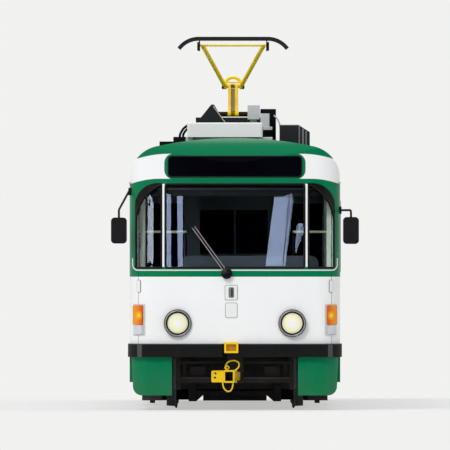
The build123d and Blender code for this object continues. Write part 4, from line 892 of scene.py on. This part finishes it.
rubber = [side_seal(y, pane_wide) for y in left_ys] + [side_seal(y, end_pane_wide) for y in (-6.13, 6.13)]
rubber += [mirrored(side_seal(y, pane_wide), 0) for y in right_ys]
fit("side_window_rubbers", "car", seal_rubber, rubber)
aluminium = finish("aluminium", (0.56, 0.56, 0.57), rough=0.35, metal=0.85, scale=200.0, tint=0.05)
vents = [bar for y in left_ys for bar in top_vent(y)]
vents += [mirrored(bar, 0) for y in right_ys for bar in top_vent(y)]
fit("vent_rails", "car", aluminium, vents)

# Door leaf rubbers: black rubber along the upright edge that meets the jamb or the other pair, along the
# foot, and round each pane. There is one piece for each leaf, because each turns with its own leaf.
for doorway, centre in (("front_door", -doorway_pitch), ("middle_door", 0.0), ("rear_door", doorway_pitch)):
    for pair, s in (("fore", 1), ("aft", -1)):
        jamb = centre - s * jamb_off
        for role, near, far in (("outer", 0.010, 0.319), ("inner", 0.335, 0.644)):
            low, high = sorted((jamb + s * near, jamb + s * far))
            pane_seal = side_seal((low + high) / 2, high - low - 0.084, 1.12, 2.44, 0.04)
            bits = [mirrored(moved(pane_seal, (-0.013, 0, 0)), 0)]
            edge = (high if s > 0 else low) if role == "inner" else (low if s > 0 else high)
            bits.append(block((-1.239, edge - 0.005, 0.40), (-1.201, edge + 0.005, 2.53), 0.004, 0.004))
            bits.append(block((-1.238, low + 0.004, 0.379), (-1.202, high - 0.004, 0.398), 0.006, 0.004))
            fit(f"{doorway}_{pair}_{role}_rubbers", f"{doorway}_{pair}_{role}", seal_rubber, bits)

# Coupler fittings: a lifting eye and two wire grips of yellow round bar on the folded coupler, and dark discs
# on its head, painted shade for its pin holes. The rear coupler has the same grips.
grip_y = -6.872


def bent_bar(points, radius, closed=False):
    """Round bar bent through points of x and z in one plane: a Catmull-Rom line, 8 steps between points."""
    points = np.asarray(points, float)
    if closed:
        points = np.vstack([points[-1:], points, points[:2]])
    else:
        points = np.vstack([2 * points[:1] - points[1:2], points, 2 * points[-1:] - points[-2:-1]])
    share = np.linspace(0, 1, 8, endpoint=False)[:, None]
    a, b, c, d = (points[k:len(points) - 3 + k, None] for k in range(4))
    line = 0.5 * (2 * b + (c - a) * share + (2 * a - 5 * b + 4 * c - d) * share**2
                  + (3 * b - a - 3 * c + d) * share**3)
    line = line.reshape(-1, 2)
    if not closed:
        line = np.vstack([line, points[-2:-1]])
    path = np.column_stack([line[:, 0], np.full(len(line), grip_y), line[:, 1]])
    return carried(path, circle(10) * radius, (0.0, -1.0, 0.0), closed)


upper_grip = [(-0.100, 0.465), (-0.108, 0.535), (-0.070, 0.578), (0.000, 0.588), (0.047, 0.556),
              (0.040, 0.506), (-0.010, 0.465)]
lower_grip = [(-0.147, 0.338), (-0.136, 0.272), (-0.100, 0.228), (-0.060, 0.226), (-0.030, 0.268),
              (-0.022, 0.340)]
lifting_eye = [(-0.118, 0.505), (-0.095, 0.528), (-0.072, 0.505), (-0.095, 0.482)]
grips = [bent_bar(upper_grip, 0.0085), bent_bar(lower_grip, 0.0085), bent_bar(lifting_eye, 0.008, True)]
fit("front_coupler_grips", "front_drawgear", yellow_enamel, grips)
fit("rear_coupler_grips", "rear_drawgear", yellow_enamel, [mirrored(grip, 1) for grip in grips])
hole_shade_dark = finish("hole_shade_dark", (0.02, 0.012, 0.004), rough=0.7)
head_across = (cos(swing), -sin(swing), 0)
head_put = on_plane((-0.2065, -6.8565, 0.40), head_across, (0, 0, 1))
hole_disc = np.array([(0.013, -0.002), (0.013, 0.0005), (0.012, 0.001), (0.001, 0.001)])
holes = [turned(on_plane(head_put(across, up, 0.0), head_across, (0, 0, 1)), hole_disc, 16)
         for across, up in ((-0.025, 0.037), (-0.031, -0.014))]
fit("front_coupler_holes", "front_drawgear", hole_shade_dark, holes)

# Towing sockets. Behind each yellow frame the bumper opens on a steel plate bolted to the beam, painted
# orange-brown as painted shade: the darker yellow inside the frame's opening.
socket_shade_orange = finish("socket_shade_orange", (0.50, 0.22, 0.012), rough=0.5, bump=0.2, scale=200.0, chip=0.1,
                       tint=0.15)
socket_plate = block((-0.112, -6.960, 0.694), (0.024, -6.948, 0.790), 0.004, 0.002)
fit("socket_plates", "car", socket_shade_orange, [socket_plate, mirrored(socket_plate, 1)])

# Rubber flap: a black sheet put in as painted shade, the dark under the car's end. It hangs behind the
# lifeguard's apron across the wheels and is cut out in the middle, a flat sheet 8 mm thick.
flap_rubber = finish("flap_rubber", (0.006, 0.006, 0.006), rough=0.7, bump=0.2, scale=300.0, shine=0.05)
flap = np.array([(-0.70, 0.108), (-0.47, 0.108), (-0.40, 0.172), (0.40, 0.172), (0.47, 0.108), (0.70, 0.108),
                 (0.70, 0.335), (-0.70, 0.335)])
fit("lifeguard_shade_flap", "car", flap_rubber,
    [shell_of(np.stack([np.insert(flap, 1, y, axis=1) for y in (-4.948, -4.956)]))])

# Guard frame trim: lighter grey lines on the bar's upper edge and down both posts, and dark brackets and boxes
# behind the bar, bolted to the headstock. The columns are left, right, foot and head.
edge_line_grey = finish("edge_line_grey", (0.10, 0.10, 0.105), metal=0.3, bump=0.2, scale=200.0, tint=0.15)
post_edge = block((0.700, -6.328, 0.245), (0.735, -6.3245, 0.610), 0.001, 0.001)
fit("guard_edges", "car", edge_line_grey,
    [block((-0.645, -6.328, 0.372), (0.645, -6.324, 0.385), 0.001, 0.001), mirrored(post_edge, 0), post_edge])
brackets = [(0.583, 0.624, 0.398, 0.570), (0.320, 0.565, 0.548, 0.572), (0.347, 0.533, 0.398, 0.517)]
brackets = [(-right, -left, foot, head) for left, right, foot, head in brackets] + brackets
brackets.append((-0.100, 0.260, 0.548, 0.572))
bracket_grey = finish("bracket_grey", (0.035, 0.034, 0.036), rough=0.5, bump=0.2, scale=200.0, tint=0.15)
fit("headstock_brackets", "car", bracket_grey,
    [block((left, -6.272, foot), (right, -6.24, head), 0.006, 0.004) for left, right, foot, head in brackets])
fit("lifeguard_plates", "car", bracket_grey,
    [block((x - 0.047, -5.012, 0.094), (x + 0.047, -5.001, 0.292), 0.004, 0.003) for x in (-0.506, 0.506)]
    + [block((-0.375, -5.012, 0.168), (0.375, -5.001, 0.210), 0.004, 0.003)])

# Brake gear in front of the outer wheels: hangers on both sides of each wheel, hung from the bogie frame and
# as dull and black as the flap. Both bogies have the same at their outer ends.
hangers = []
for s in (-1, 1):
    for inner, outer, foot in ((0.560, 0.640, 0.118), (0.816, 0.868, 0.095)):
        left, right = sorted((s * inner, s * outer))
        hangers.append(block((left, -4.332, foot), (right, -4.290, 0.300), 0.010, 0.008))
fit("front_brake_hangers", "front_bogie", flap_rubber, hangers)
fit("rear_brake_hangers", "rear_bogie", flap_rubber, [mirrored(shape, 1) for shape in hangers])

# Pantograph dressing. Yellow sleeves cover the tubes of the upper arm, a thick bow stands over the knee
# between two black bearing caps, and short sprung legs hang from the collector head.
knee_at = np.array([-0.020, -1.6472, 3.877])
head_at = np.array([-0.020, -3.0687, 4.356])
sleeve_radius = 0.026
sleeves = []
for s in (-1, 1):
    low = knee_at + (s * 0.098, 0, 0)
    high = head_at + (s * 0.368, 0, 0)
    sleeves.append(rod([low + (high - low) * a for a in (0.03, 0.965)], sleeve_radius, 20, (0, 1, 0), 0.1))
# Painted light: the sleeves, like the bow below, take the brighter copy of the arm yellow.
fit("arm_sleeves", "pantograph_upper", lit_arm_yellow, sleeves)
bow = (0.086, 0.056) * circle(20, radians(200), radians(-20), True) + (0, 0.048)
bow = knee_at + np.insert(bow, 1, 0, axis=1)
cross_bar = [knee_at + (x, 0, 0.044) for x in (-0.08, 0.08)]
fit("knee_bow", "pantograph_upper", lit_arm_yellow,
    [rod(bow, 0.017, 14, (0, 1, 0), 0.01), rod(cross_bar, 0.010, 12, (0, 1, 0))])
cap_profile = [(0.022, -0.012), (0.026, -0.008), (0.026, 0.006), (0.020, 0.014), (0.001, 0.018)]
cap_ways = ((-1, (0, 0, 1), (0, 1, 0)), (1, (0, 1, 0), (0, 0, 1)))
fit("knee_caps", "pantograph_upper", carbon,
    [turned(on_plane(knee_at + (s * 0.122, 0, -0.012), u, v), cap_profile, 20) for s, u, v in cap_ways])
fit("head_springs", "pantograph_head", carbon,
    [block((x - 0.018, -3.089, 4.292), (x + 0.018, -3.049, 4.398), 0.010, 0.006)
     for x in (head_at[0] - 0.415, head_at[0] + 0.415)])

# Roof gear in black and pale grey: boards and hoses beside the roof box, its feet, a conduit down from the
# cabinets, a cable plate, edge strips on the resistor box and a pale edge on the pantograph's frame.
gear_black = finish("gear_black", (0.006, 0.006, 0.007), rough=0.5, bump=0.2, scale=300.0, shine=0.08)
fit("roof_boards", "car", gear_black,
    [block((-0.900, -5.25, 3.120), (-0.727, -4.15, 3.192)),
     block((-0.735, -5.30, 3.16), (-0.580, -4.10, 3.247)),
     block((0.307, -3.46, 3.20), (0.495, -3.30, 3.590), 0.01),
     block((0.30, -3.70, 3.20), (0.46, -3.30, 3.37))])
hoses = [[(-0.665, -4.6, 3.20), (-0.655, -4.6, 3.285), (-0.620, -4.6, 3.345), (-0.570, -4.6, 3.385),
          (-0.52, -4.2, 3.40), (-0.45, -3.95, 3.38)],
         [(-0.625, -4.6, 3.20), (-0.617, -4.6, 3.280), (-0.590, -4.6, 3.325), (-0.545, -4.6, 3.365),
          (-0.50, -4.2, 3.38), (-0.43, -3.95, 3.36)]]
fit("roof_hoses", "car", gear_black, [rod(line, 0.015, 12, (0.3, 1, 0), 0.04) for line in hoses])
foot_grey = finish("foot_grey", (0.55, 0.55, 0.56), scale=200.0)
conduit = [(0.467, 3.512), (0.505, 3.480), (0.535, 3.420), (0.545, 3.330), (0.548, 3.20)]
fit("roof_conduit", "car", foot_grey, [rod(np.insert(conduit, 1, -3.78, axis=1), 0.009, 12, (0, 1, 0), 0.03)])
fit("roof_feet", "car", foot_grey,
    [block((left, y, 3.16), (right, y + 0.12, 3.238), 0.01)
     for left, right in ((-0.604, -0.498), (0.272, 0.450)) for y in (-5.30, -4.20)]
    + [block((0.340, -3.775, 3.335), (0.450, -3.765, 3.375), 0.004)])
strips = [(0.7655, 0.782, 3.384), (0.806, 0.830, 3.352), (0.847, 0.865, 3.326)]
strip_grey = finish("strip_grey", (0.20, 0.20, 0.205), scale=200.0)
fit("resistor_strips", "car", strip_grey,
    [block((left, -3.908, 3.10), (right, -3.8985, top), 0.002, 0.002) for left, right, top in strips]
    + [block((0.545, -3.906, 3.386), (0.760, -3.8985, 3.394), 0.002, 0.002)])
leg = np.array([(-0.262, -3.052, 3.628), (-0.115, -3.052, 3.428)])
fit("frame_edge", "car", foot_grey, [rod(leg, 0.006, 8, (0, 1, 0), 0.05)])

# Soft boxes and a flag. The windscreen leans back and bows, so it mirrors what hangs high in front of it:
# a black flag that keeps the glass clear, and before it pale blue soft boxes, each the mirror image of one
# light band on the glass. The columns are head left, head right, foot left, foot right, head z, foot z, and
# the last box is paler.
glare = [(-0.8165, -0.7477, -0.8034, -0.7466, 2.548, 1.692), (-0.7003, -0.6269, -0.6873, -0.6269, 2.548, 1.692),
         (0.4740, 0.6506, 0.3685, 0.5676, 2.545, 1.692), (0.6670, 0.6990, 0.5807, 0.6030, 2.548, 1.692),
         (0.7420, 0.8105, 0.7146, 0.7217, 2.209, 1.875), (-1.0404, -0.9373, -1.0452, -0.9409, 2.50, 1.692)]
box_blue = ((0.55, 0.66, 1.0), 6.8)
box_pale = ((0.75, 0.83, 1.0), 7.0)
soft_box_y = -16.0
flag_y = -16.6


def mirror_image(x, z, plane_y):
    """Where a ray along +y, mirrored on the glass at x and z, meets the plane: d' = d - 2 (d . n) n."""
    normal = nose_normal(x, z)
    from_glass = on_nose(x, z, -0.014)
    away = np.array([0.0, 1.0, 0.0]) - 2 * normal[..., 1:2] * normal
    return from_glass + away * ((plane_y - from_glass[..., 1]) / away[..., 1])[..., None]


def stage_sheet(name, grid, colour, strength):
    """Bare sheet over a grid that only mirrors see."""
    rows, columns = grid.shape[:2]
    i, j = np.arange(rows - 1)[:, None], np.arange(columns - 1)[None, :]
    corner = i * columns + j
    faces = np.stack([corner, corner + 1, corner + columns + 1, corner + columns], -1).reshape(-1, 4)
    mesh = bpy.data.meshes.new(name)
    mesh.from_pydata(grid.reshape(-1, 3).tolist(), [], faces.tolist())
    light, graph, shader, surface = new_material(name)
    graph.feed(surface, graph.node("Emission", {"Color": colour, "Strength": strength}).outputs[0])
    mesh.materials.append(light)
    sheet = bpy.data.objects.new(name, mesh)
    bpy.context.scene.collection.objects.link(sheet)
    sheet.visible_camera = sheet.visible_diffuse = sheet.visible_shadow = False


share, across = np.linspace(0, 1, 12)[:, None], np.linspace(0, 1, 6)[None, :]
for index, (head_left, head_right, foot_left, foot_right, head_z, foot_z) in enumerate(glare):
    left = foot_left + (head_left - foot_left) * share
    right = foot_right + (head_right - foot_right) * share
    x = left + (right - left) * across
    z = foot_z + (head_z - foot_z) * share + 0 * across
    colour, strength = box_pale if index == 5 else box_blue
    stage_sheet(f"soft_box_{index}", mirror_image(x, z, soft_box_y), colour, strength)
flag = np.array([[(x, flag_y, z) for x in (-14.0, 14.0)] for z in (0.0, 11.0)])
stage_sheet("flag", flag, (0.0, 0.0, 0.0), 0.0)

# Floor: a pale disc under the tram that fades into the background before its edge. Seen from below it is
# clear, and from above it is half background, so that the shadow stays soft.
floor_radius = 16.0
fade_from = 8.5
background_share = 0.55
floor_mesh = bpy.data.meshes.new("studio_floor")
floor_mesh.from_pydata(np.insert(circle(96) * floor_radius, 2, 0, axis=1).tolist(), [], [list(range(96))])
studio_floor = bpy.data.objects.new("studio_floor", floor_mesh)
bpy.context.scene.collection.objects.link(studio_floor)
pale, graph, shader, surface = new_material("pale_floor")
graph.fill(shader, {"Base Color": (0.86, 0.86, 0.85), "Roughness": 0.9, "Specular IOR Level": 0.0})
under = graph.node("NewGeometry").outputs["Backfacing"]
x, y, z = graph.place()
fade = graph.larger(graph.step(graph.reach(x, y), fade_from, floor_radius - 0.5), under)
clear = graph.node("BsdfTransparent")
mixed = graph.node("MixShader", {0: fade, 1: shader.outputs[0], 2: clear.outputs[0]})
bare = graph.node("Emission", {"Color": background_colour, "Strength": background_strength})
share = graph.times(graph.node("LightPath").outputs["Is Camera Ray"], background_share)
share = graph.times(share, graph.less(1.0, under))
shown = graph.node("MixShader", {0: share, 1: mixed.outputs[0], 2: bare.outputs[0]})
graph.feed(surface, shown.outputs[0])
floor_mesh.materials.append(pale)
